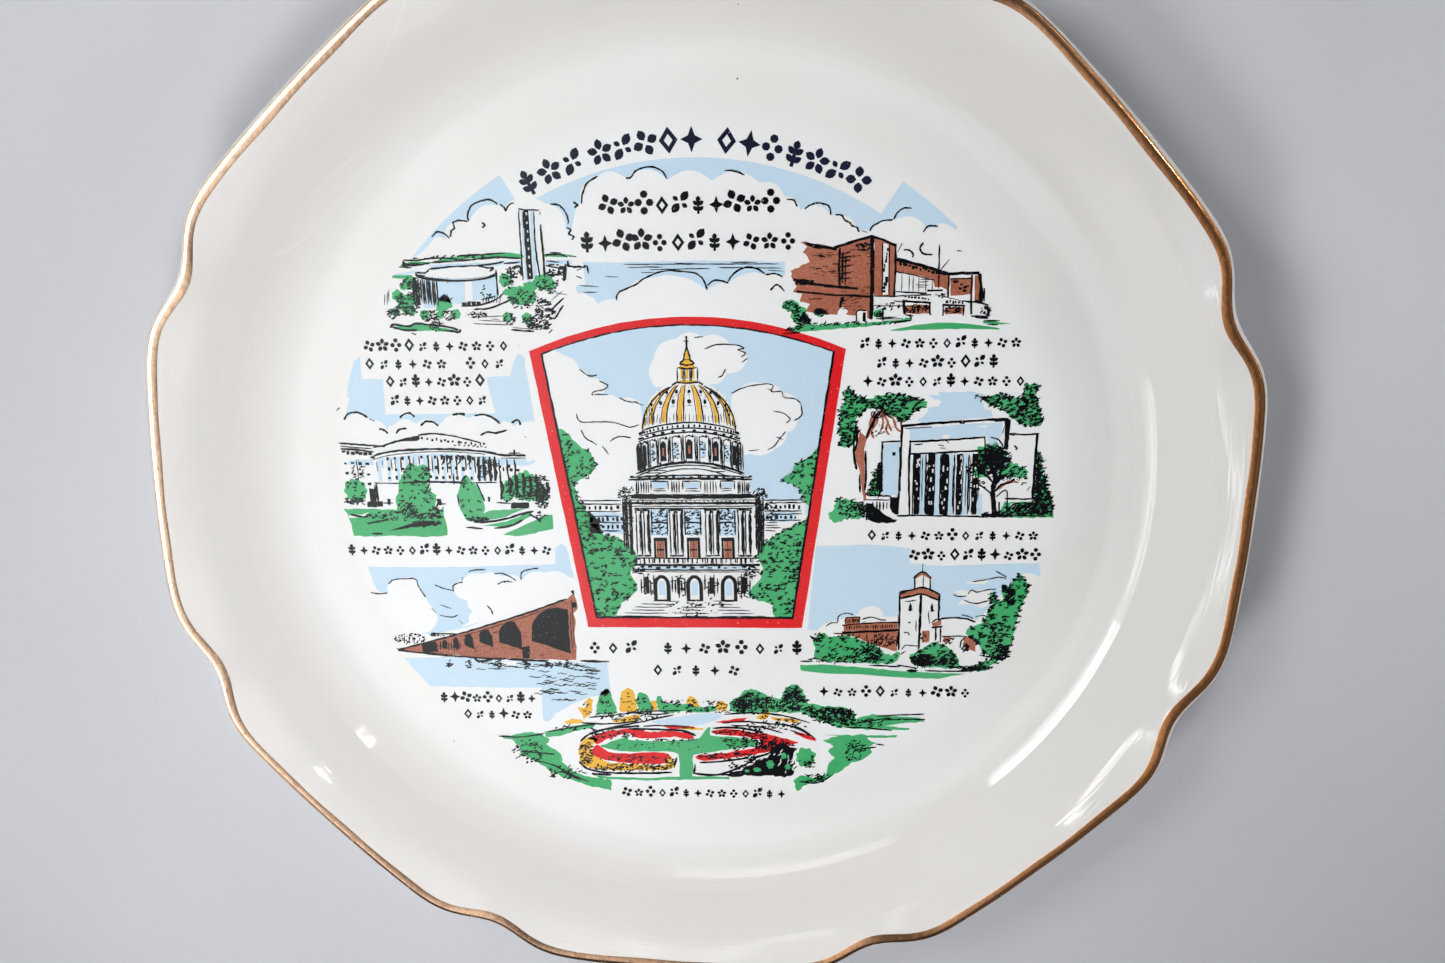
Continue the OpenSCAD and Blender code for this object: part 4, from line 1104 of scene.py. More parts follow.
# ---- Upper left picture: a round hall, a tower and hills behind a river ----
def draw_drum_hall():
    ink, pane, green = "drum_hall_lines", "drum_hall_panes", "drum_hall_trees"
    # hills and river
    lay_soft(green, [(-68.5, 53.6), (-66, 54.6), (-61, 54.6), (-56.4, 55.6), (-50, 56.1), (-44, 56.5),
        (-39.6, 55.9), (-40, 55.2), (-46, 55.3), (-53, 55.1), (-60, 54.2)], 0.12, 1.4)
    lay_rough(green, [(-34.4, 56), (-31, 56.2), (-27.4, 55.5), (-31, 55.2), (-34.4, 55.4)], 0.1, 1.2)
    lay_soft(ink, [(-67.8, 55), (-66.8, 54.2), (-62, 54.3), (-59.8, 54.8), (-62.6, 53.8), (-68, 53.6)], 0.16,
        0.9)
    pens(ink, [[(-69, 53.4), (-66, 53.2)], [(-67.7, 55), (-65, 54.9), (-60, 55.4), (-55, 55.1)],
        [(-61, 54.3), (-52, 54.9), (-45, 55.4), (-39.8, 55)], [(-55, 55.8), (-50, 56), (-43.6, 56.4)],
        [(-34.4, 55.8), (-31, 55.9), (-29, 55.3)], [(-33, 56.4), (-30.6, 56.2)], [(-28.6, 55.4),
        (-27, 55.4)], [(-62, 52.8), (-57, 53.3), (-49, 53.6), (-44, 54.4)]], 0.34)
    leaves(ink, -54, 55.4, 12, 0.5, 26, 0.9, 0)
    lay_rough(pane, [(-62, 53.7), (-55, 54), (-46, 54.2), (-39.8, 54.6), (-39.8, 53.6), (-43, 54),
        (-45.6, 53.4), (-52, 53.6), (-61, 52.4)], 0.1, 1.4)
    lay_rough(pane, [(-70.6, 51.2), (-66, 51.9), (-61, 52.2), (-66, 52.4), (-70, 51.8)], 0.1, 1.2)
    lay_rough(pane, [(-34.3, 54.4), (-28.6, 54.6), (-28, 53.6), (-31, 53.4), (-34.3, 53.6)], 0.1, 1.2)
    # tower
    lay(pane, nudged(rect(-39.3, 50.2, -38.7, 66.2), 0.06), nudged(rect(-37.2, 50.6, -36.4, 66.2), 0.06),
        nudged(rect(-38.9, 49.2, -38.2, 51), 0.1))
    lay(ink, nudged(resampled([(-38.5, 50.2), (-37.4, 50.2), (-37.5, 66.2), (-38.6, 66.2)], 2, True), 0.06))
    for height in range(51, 66, 2):
        keep_off(ink, nudged(rect(-38.2, height, -37.9, height + 0.6), 0.08))
    pens(ink, [[(-39.9, 66.5), (-38, 66.2), (-35, 66.1)], [(-39.8, 66), (-39.8, 50)], [(-38.7, 66),
        (-38.6, 50)], [(-36.3, 65.8), (-36.4, 58), (-35.8, 50.6)], [(-34.8, 65.8), (-34.9, 65)]], 0.3)
    pen(ink, [(-34.9, 62.8), (-34.7, 56), (-34.6, 50.6)], 0.42, 0.05)
    strokes(ink, -38.9, -38.3, 62, 66, 2, 0.26)
    # round hall
    roof = arc(-55.6, 52.3, 9.6, 1.7, 180, 360, 16)
    lay(ink, [(x, y - 0.15) for x, y in roof] + [(x, y - 0.85) for x, y in arc(-55.6, 52.3, 9.7, 1.7, 360,
        180, 16)])
    keep_off(ink, [(x, y - 0.42) for x, y in arc(-54.4, 52.3, 7.4, 1.5, 200, 342, 12)] + [(x,
        y - 0.56) for x, y in arc(-54.4, 52.3, 7.4, 1.5, 342, 200, 12)])
    pens(ink, [[(-65.2, 52.1), (-63, 51.9), (-62, 52.6)], [(-50.4, 53.6), (-48, 53), (-46.6, 52.9),
        (-47.6, 52.2)], [(-65.2, 51.4), (-63, 51.2)], [(-46.1, 52.4), (-46, 49), (-46, 46.4)]], 0.36)
    pane_foot = [(-60.6, 45.4), (-57, 44.6), (-54, 44.6), (-53.6, 50.4), (-60.4, 50.8)]
    lay(pane, rough(pane_foot, 0.14, 1.4), rough([(-52, 45.2), (-49, 45.4), (-46.2, 46), (-46.2, 51.2),
        (-51.8, 50.4)], 0.14, 1.4))
    lay_rough(pane, rect(-64, 43.6, -61.2, 50.6), 0.14, 1.4)
    for patch in ((-64.9, -60.2, 44, 51.2, 10, 0.32, 0, 1.2), (-60.2, -57.4, 49.4, 51, 4, 0.2, 0, 0.8),
            (-58, -47, 50, 50.6, 9, 0.14, 0, 0.3)):
        strokes(ink, *patch)
    pens(ink, [[(-65.4, 50.6), (-65.3, 44.4)], [(-65.8, 50.9), (-66.1, 45)]], 0.5)
    blots(ink, -54.6, -50.2, 44.5, 44.6, 4, 0.9, 1.0)
    pens(ink, [[(-54.8, 44), (-50, 44.3), (-46.4, 45.6), (-44.6, 47)], [(-52, 43.2), (-48.4, 43.4),
        (-45, 44.6), (-41.6, 46)], [(-50, 45.4), (-46.6, 46.4)]], 0.34)
    strokes(ink, -50, -45.4, 44.6, 46.4, 7, 0.3, 0.4)
    # low town to the right of the tower
    pens(ink, [[(-44, 53.9), (-40.4, 54.2)], [(-42.6, 53.2), (-42.4, 51), (-41, 50.6)], [(-42, 53),
        (-40.4, 53.3), (-40.2, 51)], [(-34.2, 53.4), (-31, 52.7), (-29.6, 52.8), (-29.9, 50), (-30.6, 50.2)],
        [(-29, 54.3), (-28.6, 53.1), (-25.2, 52.9), (-25.2, 53.3)], [(-24.6, 53.2), (-24.3, 51.4)],
        [(-34, 54.4), (-31, 54.1)], [(-27, 52.2), (-26, 52.6)], [(-27.2, 50.8), (-26, 50.3)], [(-34, 51),
        (-30.6, 51.3)], [(-31.4, 52.6), (-30.6, 51)]], 0.38)
    lay(ink, rough([(-31.4, 53), (-29.5, 53.2), (-29.4, 52.5), (-31.2, 52.4)], 0.1), rough(rect(-30.3, 50,
        -29.6, 52.8), 0.1))
    blots(ink, -34, -26, 53.5, 52.9, 8, 0.8, 0.4, 0.3)
    leaves(ink, -32.4, 51.6, 2, 0.8, 22, 0.8, 0)
    leaves(ink, -41.6, 52, 2, 1.2, 20, 0.8, 0)
    # trees and bushes
    lay_rough(green, [(-70.6, 51.5), (-66, 51.4), (-65.8, 50.6), (-70.8, 50.8)], 0.1, 1)
    for x, y, r in ((-70, 46.6, 1.5), (-68.3, 44.6, 2.2), (-66.6, 45.6, 1.5), (-67, 43, 1.3), (-71, 42.8,
            1.1), (-67.2, 49.4, 1.7), (-68.4, 48.8, 1.0), (-64, 42.1, 1.3), (-60.1, 42, 1.1), (-56.3, 42.1,
            1.3), (-44.1, 50, 1.6), (-44, 41.3, 1.4), (-39.4, 41, 1.5)):
        lay(green, blob(x, y, r, r, 6, 0.22))
    lay_soft(green, [(-61, 43), (-60.4, 45.6), (-59, 46.8), (-57.6, 46), (-57, 44), (-58.4, 43.2)], 0.2, 0.9)
    lay(green, blob(-40.4, 46.3, 3.9, 2.7, 11), blob(-38, 48.6, 2, 1.2, 7), blob(-34.8, 49.3, 2.9, 2, 9),
        blob(-43.6, 47.2, 1.4, 1, 6))
    lay_rough(green, [(-72, 39.2), (-68, 39.7), (-63.6, 39.8), (-60, 38.8), (-56.4, 38.4), (-57, 37.8),
        (-62, 38.2), (-68, 38.2), (-71.4, 38.6)], 0.12, 1)
    for patch in ((-40.2, 45.8, 4, 2.8, 62, 0.75), (-34.6, 49, 3.2, 2.1, 44, 0.75), (-44, 50, 2, 2, 24, 0.8),
            (-43.8, 41.2, 1.6, 1.6, 20, 0.8), (-39, 40.6, 2, 1.8, 30, 0.8), (-35.4, 43, 2.6, 3.4, 60, 0.95),
            (-37, 39.4, 3.6, 1.2, 34, 1.0), (-68.4, 45, 3.4, 3.4, 66, 0.95), (-71.4, 42.4, 1.8, 1.4, 20,
            1.0), (-67.4, 49.6, 2.4, 1.6, 26, 0.8), (-65.4, 47.4, 0.9, 3.4, 34, 1.0, 0), (-63.2, 42, 2.6,
            1.6, 34, 0.8), (-58, 42, 2.2, 1.4, 22, 0.8), (-51.6, 42, 3, 1, 26, 0.7), (-61.4, 39.6, 1.4, 1.6,
            20, 0.9, 0), (-48.6, 47.6, 1.4, 1.4, 8, 0.7, 0), (-58.6, 46, 1.6, 1, 14, 0.6, 0)):
        leaves(ink, *patch)
    pens(ink, [[(-72.4, 39), (-71.4, 39.8), (-68, 39.3), (-66, 40), (-63, 39.6), (-58, 39), (-56, 38.2)],
        [(-72, 39.2), (-69, 38.4), (-66, 38.4)], [(-58, 38.2), (-56, 37.8), (-55.6, 38.4)], [(-60, 38.2),
        (-56.4, 37.9)], [(-36.4, 44.8), (-33.6, 44.8)], [(-34, 42.4), (-30.4, 45.8)], [(-33, 40.6),
        (-30.6, 44)], [(-34.4, 37.4), (-33.6, 38.2)], [(-43.4, 38.2), (-38, 37.8)], [(-67.4, 37.6),
        (-66.4, 37.3)]], 0.4)
    for x0, y0, x1, y1 in ((-52, 41.3, -45, 41.6), (-51, 40.6, -44, 40.2), (-52.4, 39.8, -43, 39.4),
            (-43, 38.8, -37, 38.2), (-48, 40.9, -46, 40.6), (-32.6, 47, -29.6, 46.4), (-33.4, 45.2, -30.6,
            47.4)):
        pen(ink, [(x0, y0), (x1, y1)], 0.16, 0.04)
    strokes(ink, -73.6, -71.8, 44, 48.6, 3, 0.16, 0.3, 1.6)


# ---- Upper right picture: a long brick hall ----
def draw_brick_hall():
    ink, wall, lawn = "brick_hall_lines", "brick_hall_walls", "brick_hall_lawn"
    lay_rough(wall, [(25, 58.2), (33, 56.8), (41.4, 59.2), (41.4, 40), (38.4, 40.8), (34, 41.2), (29, 41.3),
        (26.2, 41.8), (27, 43.8), (25, 44.2), (25.4, 46), (23.2, 46.4), (24.2, 48), (23, 50), (22.8, 51.6),
        (25.4, 52.6), (27, 53.4), (26.8, 54.6), (25.4, 55.6), (26.4, 56.8)], 0.24, 1.0)
    lay_rough(wall, [(41.9, 59.1), (46.8, 57.1), (46.8, 45.4), (44.4, 45.3), (41.9, 45.7)], 0.08, 2)
    lay_rough(wall, [(46.9, 53.9), (52, 52.5), (56.4, 51), (58.8, 50.3), (58.8, 46.6), (57.4, 47.4),
        (56, 47.2), (55.4, 49.2), (51, 50.2), (46.9, 51)], 0.1, 1.6)
    lay(wall, rough([(59.4, 49.4), (64.1, 49.4), (64.1, 45.6), (59.6, 45.2)], 0.12, 1.6),
        rough(rect(65, 43.6, 66.6, 50), 0.1, 2))
    lay(wall, rough(rect(49, 41.2, 54.8, 43.2), 0.14, 1.2), rough(rect(58.4, 41, 62.4, 42.6), 0.14, 1.2))
    keep_off(wall, nudged([(43.9, 57.6), (45.2, 57.2), (45.2, 45.8), (43.9, 45.6)], 0.1))
    keep_off(wall, rough(rect(37.9, 39, 40.4, 42), 0.1, 1.2))
    keep_off(wall, rough(smooth([(34, 42.4), (35, 42.8), (36, 42), (35, 41), (33.6, 41)], 3, True), 0.1))
    # outlines
    lay_rough(ink, [(25.8, 58), (29, 57.5), (33.4, 56.6), (33.2, 56), (29.4, 56.5), (27, 56.9)], 0.14, 1)
    for line, width in (([(33, 56.7), (36, 57.7), (41.4, 59.2)], 0.6), ([(41.4, 59.1), (44, 58.2),
            (46.8, 57)], 0.5), ([(41.45, 59.2), (41.5, 50), (41.4, 40.2)], 0.75), ([(46.8, 57), (46.8, 51),
            (46.6, 45.6)], 0.42), ([(43.8, 57.6), (43.9, 52), (43.8, 46)], 0.3),
            ([(45.4, 57.2), (45.4, 45.6)], 0.22), ([(34, 56.4), (33.9, 52), (34.1, 47.6)], 0.5),
            ([(46.9, 53.8), (52, 52.6), (58.4, 50.5)], 0.66), ([(47, 51), (51, 50.1), (55.6, 49)], 0.26),
            ([(58.6, 50.3), (62, 50.5), (65.8, 50.4)], 0.6), ([(66, 50.2), (66.5, 47), (66.4, 43.6)], 0.6),
            ([(59, 50), (59, 45)], 0.42), ([(64.3, 50), (64.3, 44), (64.4, 41)], 0.36),
            ([(59.4, 49.2), (64, 49.3)], 0.3), ([(41.8, 45.4), (46.6, 45.3), (55, 45.6)], 0.26),
            ([(47, 46.4), (54, 45.9)], 0.3), ([(54.2, 46.5), (57.6, 46.6)], 0.4), ([(41.8, 43.2), (47, 43),
            (50, 43)], 0.16), ([(48.6, 44.2), (55, 43.7)], 0.44), ([(54.8, 43.8), (55, 40.8)], 0.3),
            ([(57.9, 43.2), (62.8, 42.9)], 0.4), ([(57.9, 43.2), (58, 40.6)], 0.36),
            ([(48.8, 44), (48.9, 41.2)], 0.36), ([(62.7, 43), (62.6, 40.6)], 0.3), ([(56, 45.6), (64, 43.6)],
            0.16), ([(62.4, 44), (66.4, 43.6), (68.2, 43.1)], 0.3), ([(64.5, 40.5), (68.2, 40.3)], 0.34),
            ([(68, 42.8), (68.5, 40.4)], 0.5), ([(24, 48.9), (31, 47.9), (38, 47.2)], 0.5),
            ([(23.4, 49.4), (28, 48.9)], 0.5), ([(24.2, 46.6), (32, 45.8), (41, 45.3)], 0.42),
            ([(27, 44.8), (30, 44.9)], 0.2), ([(47.2, 55.4), (48.2, 57.4)], 0.16), ([(46.6, 44.2), (49, 44),
            (49.2, 41), (51, 40.6)], 0.26), ([(50.4, 41), (50.6, 39.8)], 0.36), ([(44, 42.4), (44.2, 39.4)],
            0.3)):
        pen(ink, line, width, 0.07, 0.9)
    pen(ink, [(56.7, 57), (56.75, 47)], 0.3, 0.04)
    pen(ink, [(56.9, 51), (59, 53.7)], 0.22, 0.04)
    # brick courses and openings
    for _ in range(46):
        x, y = rng.uniform(34.4, 40.6), rng.uniform(42, 56.4)
        if rng.random() < 0.5 or x < 36.8:
            pen(ink, [(x, y), (x + rng.uniform(0.5, 1.4), y + 0.12)], 0.26, 0.04)
    for _ in range(34):
        x, y = rng.uniform(26.6, 33), rng.uniform(50, 56)
        pen(ink, [(x, y), (x + rng.uniform(0.6, 1.8), y - 0.16)], 0.22, 0.04)
    for y in (52.2, 53.4, 54.4, 55.3, 49.4, 50.6):
        pen(ink, [(34.3, y), (36.6, y + 0.3)], 0.4, 0.1)
    strokes(ink, 34.3, 35.4, 48, 56, 3, 0.3, 0, 1.5)
    blots(ink, 37.8, 41, 57, 57.4, 5, 0.7, 0.5, 0.3)
    leaves(ink, 39.2, 56.6, 1.8, 0.8, 14, 0.8, 0)
    for patch in ((23.6, 33, 48.6, 47.8, 9, 0.9, 0.35, 0.2), (34, 34.8, 43, 45, 4, 0.7, 0.9, 0.1), (47.6, 58,
            52.9, 50.2, 14, 0.7, 0.7, 0.25), (60, 63.6, 48.2, 46.6, 9, 0.7, 0.5, 0.9), (48.8, 55, 45.3, 44.4,
            8, 0.5, 0.5, 0.1), (58.4, 62.6, 44, 43.6, 6, 0.5, 0.6, 0.1), (65, 66.4, 44, 43.6, 3, 0.5, 0.5,
            0.1), (44, 45.2, 51, 56.6, 6, 0.5, 0.8, 0.1), (44.1, 45, 46, 50, 5, 0.7, 0.7, 0.2)):
        blots(ink, *patch)
    strokes(ink, 66, 67.4, 43.6, 47, 3, 0.36)
    for x in (48.3, 50, 50.9, 52.2, 53.8, 55.3):
        pen(ink, [(x, 50.6 - (x - 47) * 0.18), (x, 46.2)], 0.16, 0.03)
    levels(ink, 51, 55, 47, 49.4, 4, 0.16, 1.4)
    for patch in ((51.8, 42.4, 2.8, 1, 34, 0.8, 0), (60.2, 41.9, 2, 0.8, 26, 0.8, 0), (45.4, 43, 3, 1, 12,
            0.7, 0), (67.6, 41.6, 1.2, 1.2, 18, 0.8, 0), (57.6, 45.2, 0.9, 0.6, 8, 0.6, 0)):
        leaves(ink, *patch)
    lay_rough(ink, rect(39.4, 39.4, 40.2, 41.6), 0.1)
    pens(ink, [[(38.1, 39.2), (38.1, 41.9), (40.3, 42)]], 0.26)
    levels(ink, 42.4, 49, 39.9, 40.6, 2, 0.22, 2)
    # lawn and bushes
    lay_rough(lawn, [(22, 37.2), (26, 37.3), (33, 37.7), (41, 38.3), (50.4, 39.4), (50.6, 40.2), (44, 39.4),
        (38, 39), (30, 38.9), (24, 38.6)], 0.14, 1.2)
    lay_soft(lawn, [(45.8, 37.2), (50, 38.2), (55, 38.9), (60, 39), (66, 38.4), (71.4, 37.4), (66, 37.4),
        (60, 37.5), (52, 37.4)], 0.08, 1.4)
    lay_rough(lawn, [(67, 39.4), (70, 39.1), (73.8, 38.6), (70.4, 38.4), (67.4, 38.8)], 0.1, 1.2)
    for x, y, rx, ry, count in ((22.6, 43.4, 2.3, 1.5, 22), (24.6, 41.2, 2, 2.2, 34), (29.5, 41.7, 1.5, 1.1,
            9), (42.9, 41.3, 1.3, 1.1, 10), (26.2, 39.8, 1.2, 0.9, 14)):
        tree(lawn, ink, x, y, rx, ry, count)
    for patch in ((25.4, 40.4, 2, 1.6, 26, 1.0), (36, 38.9, 12, 0.4, 30, 0.8, 0), (25, 37.8, 3, 0.6, 12, 0.9,
            0)):
        leaves(ink, *patch)
    pens(ink, [[(20.8, 36.7), (24.8, 37)], [(22, 37.8), (21.4, 37.4)], [(46, 39.1), (50.6, 39.6)],
        [(67.4, 39.4), (71, 39.3)], [(68, 38.6), (70.6, 38.4)], [(65.4, 40.2), (68.4, 39.9)]], 0.36)


# ---- Left picture: a long curved hall ----
def draw_crescent_hall():
    ink, sky, green = "crescent_hall_lines", "crescent_hall_sky", "crescent_hall_trees"
    lay_rough(sky, [(-82.6, 26.6), (-75.6, 26.4), (-75.6, 17.6), (-48.6, 17.8), (-50.2, 26.8), (-44.6, 27),
        (-43.4, 30.4), (-42.2, 32.4), (-40.8, 31.6), (-39.2, 15.8), (-43, 15.6)] + scallops([(-44.4, 14.6),
        (-48.2, 15.2), (-55, 16.6), (-62.8, 14.8), (-68.4, 15.4), (-74, 14.8), (-75.6, 13.8), (-79, 16.2),
        (-86, 16.4)], -0.24), 0.1, 2.4)
    lay_rough(sky, [(-84.8, 22), (-83.4, 27.4), (-82, 30.8), (-80.4, 32.2), (-80.6, 26), (-82, 22)], 0.14, 2)
    pens(ink, [[(-86, 16.4), (-85, 17.8), (-83, 18.3), (-81.4, 17.8), (-80.2, 16.9)], [(-79.8, 16.6),
        (-78.6, 16)], [(-77.6, 14), (-76.4, 13.8), (-75.6, 12.8)], [(-72.2, 16.8), (-71, 17.8), (-69.6, 18),
        (-68.6, 17)], [(-73.4, 12.9), (-72.6, 13.9), (-70.9, 14.2)], [(-67.2, 14.8), (-66, 15.8),
        (-64, 15.7), (-62.9, 14.7)], [(-59.2, 17.5), (-57.6, 17.8), (-56.2, 17.7)], [(-53.8, 17.3),
        (-51.6, 17.5), (-49.4, 16.8), (-47.7, 15.2)], [(-44.8, 15.4), (-43.8, 16.1), (-43, 15.9),
        (-42.7, 14.9)], [(-52.8, 12.3), (-51, 13.1), (-48.8, 12.9), (-46.2, 13.6)], [(-41.8, 12),
        (-41.6, 11.8)], [(-87.6, 18.8), (-86.8, 19.4)]], 0.42)
    lay(ink, nudged(rect(-56.6, 17.2, -56.1, 18), 0.08))
    # roofs and cornices
    for line, width in (([(-87.8, 10.5), (-83, 10.1), (-76.6, 9.6)], 0.4), ([(-87.6, 9.7), (-80, 9.0)],
            0.24), ([(-87.6, 9), (-84, 8.8), (-79.6, 8.2)], 0.4), ([(-79.4, 9.4), (-77, 9.8), (-73.6, 11)],
            0.34), ([(-68, 12.4), (-65, 12.8), (-60.6, 12.4), (-56, 11.3), (-53, 10.5)], 0.34),
            ([(-80, 6.9), (-77, 8.0), (-71, 8.7), (-63, 8.9), (-56, 8.6), (-51, 8.0), (-49.3, 7.5)], 0.46),
            ([(-80, 6.2), (-76, 7.3), (-68, 8.1), (-60, 8.2), (-52, 7.5)], 0.18), ([(-49.6, 7.9), (-48, 7.3),
            (-42, 7.2)], 0.44), ([(-48, 6.6), (-42, 6.5)], 0.22), ([(-80.4, 6.8), (-79.4, 6.6)], 0.5),
            ([(-44.8, 7.4), (-44.7, 8.6)], 0.5), ([(-46, 7.8), (-43.4, 7.8)], 0.3), ([(-73, 0.3), (-68, 0.5),
            (-62, 0.4), (-58, 0.3)], 0.42), ([(-80, 0.2), (-73.6, 0.1)], 0.24), ([(-56, 0.2), (-49.6, 0.3)],
            0.3)):
        pen(ink, smooth(line, 3) if len(line) > 2 else line, width, 0.06, 0.8)
    lay_soft(ink, [(-76.4, 9.9), (-73.4, 11.1), (-70, 12), (-68.2, 12.3), (-67.8, 11.6), (-68.6, 11),
        (-72, 10.9)], 0.08, 1)
    for patch in ((-67.4, -51.6, 11.5, 9.9, 15, 0.5, 0.7, 0.3), (-59.6, -51, 10, 9.4, 8, 0.5, 0.4, 0.2),
            (-87.6, -80, 8.3, 7.6, 7, 0.9, 0.8, 0.2)):
        blots(ink, *patch)
    # colonnade
    for i in range(13):
        x = -78.4 + i * 2.3
        top = 7.2 - 0.006 * (x + 64) ** 2
        lay(sky, nudged(rect(x - 0.42, 0.6, x + 0.36, top), 0.12))
        pen(ink, [(x + 0.8, top), (x + 0.76, 4.4 + rng.uniform(-2.6, 1))], 0.34, 0.06)
        if i % 2 == 0 or x > -56:
            pen(ink, [(x - 0.6, top - 0.2), (x - 0.62, 1.6 + rng.uniform(0, 3))], 0.22, 0.06)
    lay_rough(sky, [(-79, 6.2), (-70, 7.5), (-62, 7.8), (-52, 7), (-49.6, 6.6), (-49.6, 5.8), (-54, 6.6),
        (-62, 7.1), (-70, 6.9), (-78.6, 5.6)], 0.14, 1.4)
    lay(sky, rough(rect(-49.6, 4.6, -42, 6.3), 0.2, 1.2), rough([(-42.6, 5.2), (-39.6, 6), (-40, 5.2),
        (-42.6, 4.4)], 0.1), rough(rect(-86, 4.8, -80, 6.2), 0.2, 1.2), rough(rect(-78, 4, -77.2, 7), 0.1,
        1.2))
    for row_y in (6.7, 4.0, 1.6):
        blots(ink, -77, -70, row_y - 0.3, row_y, 4, 0.55, 0.9, 0.15)
        blots(ink, -68.6, -55, row_y + 0.1, row_y - 0.1, 8, 0.6, 0.9, 0.2)
        blots(ink, -87.6, -80.4, row_y - 1.2, row_y - 1.6, 4, 0.8, 0.7, 0.2)
    blots(ink, -63.4, -53, 6.8, 6.4, 8, 0.5, 1.2, 0.1)
    for x in (-63, -61.4, -59, -56.4):
        pen(ink, [(x, 7.3), (x + 0.9, 6.9), (x + 0.7, 5.6), (x, 4.9)], 0.4, 0.06)
    for x in (-53.8, -52.4, -51, -49.8):
        pen(ink, [(x, 7), (x + 0.05, 0.8)], 0.7, 0.16)
        leaves(ink, x + 0.4, 4, 0.4, 3, 7, 0.8, 0)
    for x in (-48.6, -46.6, -44.8):
        pen(ink, [(x, 6.2), (x, -3)], 0.4, 0.12)
        blots(ink, x, x + 1, 5, 3, 2, 0.7, 0.9, 0.2)
    pen(ink, [(-60.2, 2.6), (-60.2, -0.2)], 0.3)
    pen(ink, [(-84, 6.4), (-84, 1)], 0.2)
    leaves(ink, -84.4, 4, 2.6, 3, 16, 0.7, 0)
    # ground: blocks, trees and lawns
    for outline in (rect(-82.4, -6, -78.6, -4.6), rect(-81.6, -4.6, -80.2, -1.2), rect(-64.9, -5.6, -63.8,
            -4), rect(-77.3, -5.4, -76.6, -3.8), rect(-46.5, -6.5, -42, -4.9), rect(-52, -4.6, -51.5, -3.4)):
        lay_rough(ink, outline, 0.14, 0.9)
    strokes(ink, -80.4, -79.6, -4.6, 0, 2, 0.3)
    pens(ink, [[(-79.6, 0), (-79.5, -4.6)], [(-78.8, -5), (-76, -5)], [(-65, -5.2), (-62.6, -5.3)],
        [(-50, -4.9), (-46.6, -5.1)], [(-48.6, 0.6), (-48.7, -3.6)], [(-54.6, 0.4), (-54.4, -0.6)]], 0.3)
    tall = [(-71.6, 4.6), (-70.4, 5.2), (-69, 4.4), (-67.6, 5), (-66.2, 4), (-65.9, 1.4), (-67, 0.6),
        (-66, -2), (-64.9, -3.6), (-65.6, -6), (-65, -8), (-66.4, -9.6), (-70, -9.2), (-74.4, -8.8),
        (-75.2, -6), (-74.4, -2), (-73.6, 1)]
    grove(green, ink, tall, 48, 0.9)
    keep_off(sky, rough(smooth(tall, 3, True), 0.1))
    leaf_tree = [(-57, 2.2), (-55.6, 0.6), (-54.2, -1.6), (-53, -4.6), (-53.4, -7.6), (-55, -9.4),
        (-57.6, -9.6), (-59.2, -6.6), (-59.5, -3), (-58.6, 0)]
    grove(green, ink, leaf_tree, 16, 0.8)
    pens(ink, [[(-54.6, 0.2), (-53.6, -2.6), (-52.9, -4.6)], [(-59.6, -3), (-59.4, -6)], [(-57.2, 2.2),
        (-58.4, 0.6)]], 0.3)
    leaves(ink, -68, -2, 2, 5, 18, 1.0, 0.3)
    leaves(ink, -72.4, -6.4, 1.6, 1.6, 24, 1.0, 0)
    tree(green, ink, -85, -1.8, 3, 3.4, 14, 10)
    leaves(ink, -85.6, -4.4, 2.4, 0.9, 30, 0.9, 0)
    for x, y, rx, ry, count in ((-46.6, -1.4, 1.9, 2.6, 12), (-42.4, -0.8, 4, 4.2, 66), (-39, -2.6, 2, 2.6,
            30), (-47.4, -3.6, 1.4, 1, 4)):
        tree(green, ink, x, y, rx, ry, count, None, 1.0)
    for x, y0, y1 in ((-48.6, 0.8, -4.2), (-46.2, 1.6, -2.4), (-44.8, 2.4, -3.4), (-43, 2.6, -3),
            (-41.4, 1.8, -3.6), (-39.8, 2.4, -4.2), (-38.4, 0, -4.6), (-37.2, 0.2, -3)):
        pen(ink, smooth([(x, y0), (x + 0.3, (y0 + y1) / 2), (x - 0.2, y1)], 4), 0.62, 0.14)
    leaves(ink, -38.4, -1.4, 2, 3.6, 30, 1.1, 0)
    lay_rough(green, [(-88.4, -6.6), (-84, -6.4), (-76, -6.8), (-74, -8), (-66, -8.6), (-63.4, -5.8),
        (-62.9, -13.6), (-68, -13.9), (-74, -13.6), (-86.6, -13.8), (-87.4, -9)], 0.2, 1.4)
    keep_off(green, rough([(-87.4, -8.2), (-84, -8), (-82, -7.2), (-84, -8.8), (-87.6, -8.9)], 0.1))
    lay_rough(green, [(-58, -9.4), (-55, -8.4), (-52, -7), (-47, -6.7), (-43, -6.6), (-46.4, -8),
        (-50, -9.2), (-57, -10)], 0.12, 1.2)
    lay_rough(green, [(-54, -10.9), (-48, -9.8), (-41.6, -7.5), (-41.4, -8.4), (-44.4, -9.8), (-49, -11.3)],
        0.1, 1.2)
    lay_rough(green, [(-49, -13.3), (-43, -10.6), (-37.6, -8), (-36.3, -8.2), (-36.2, -11.9), (-41, -12.9),
        (-46, -13.8)], 0.12, 1.2)
    lay_rough(ink, [(-77.6, -12.4), (-72, -11.4), (-66, -10.8), (-65.6, -9.6), (-70, -9.8), (-74, -11)],
        0.12, 1.2)
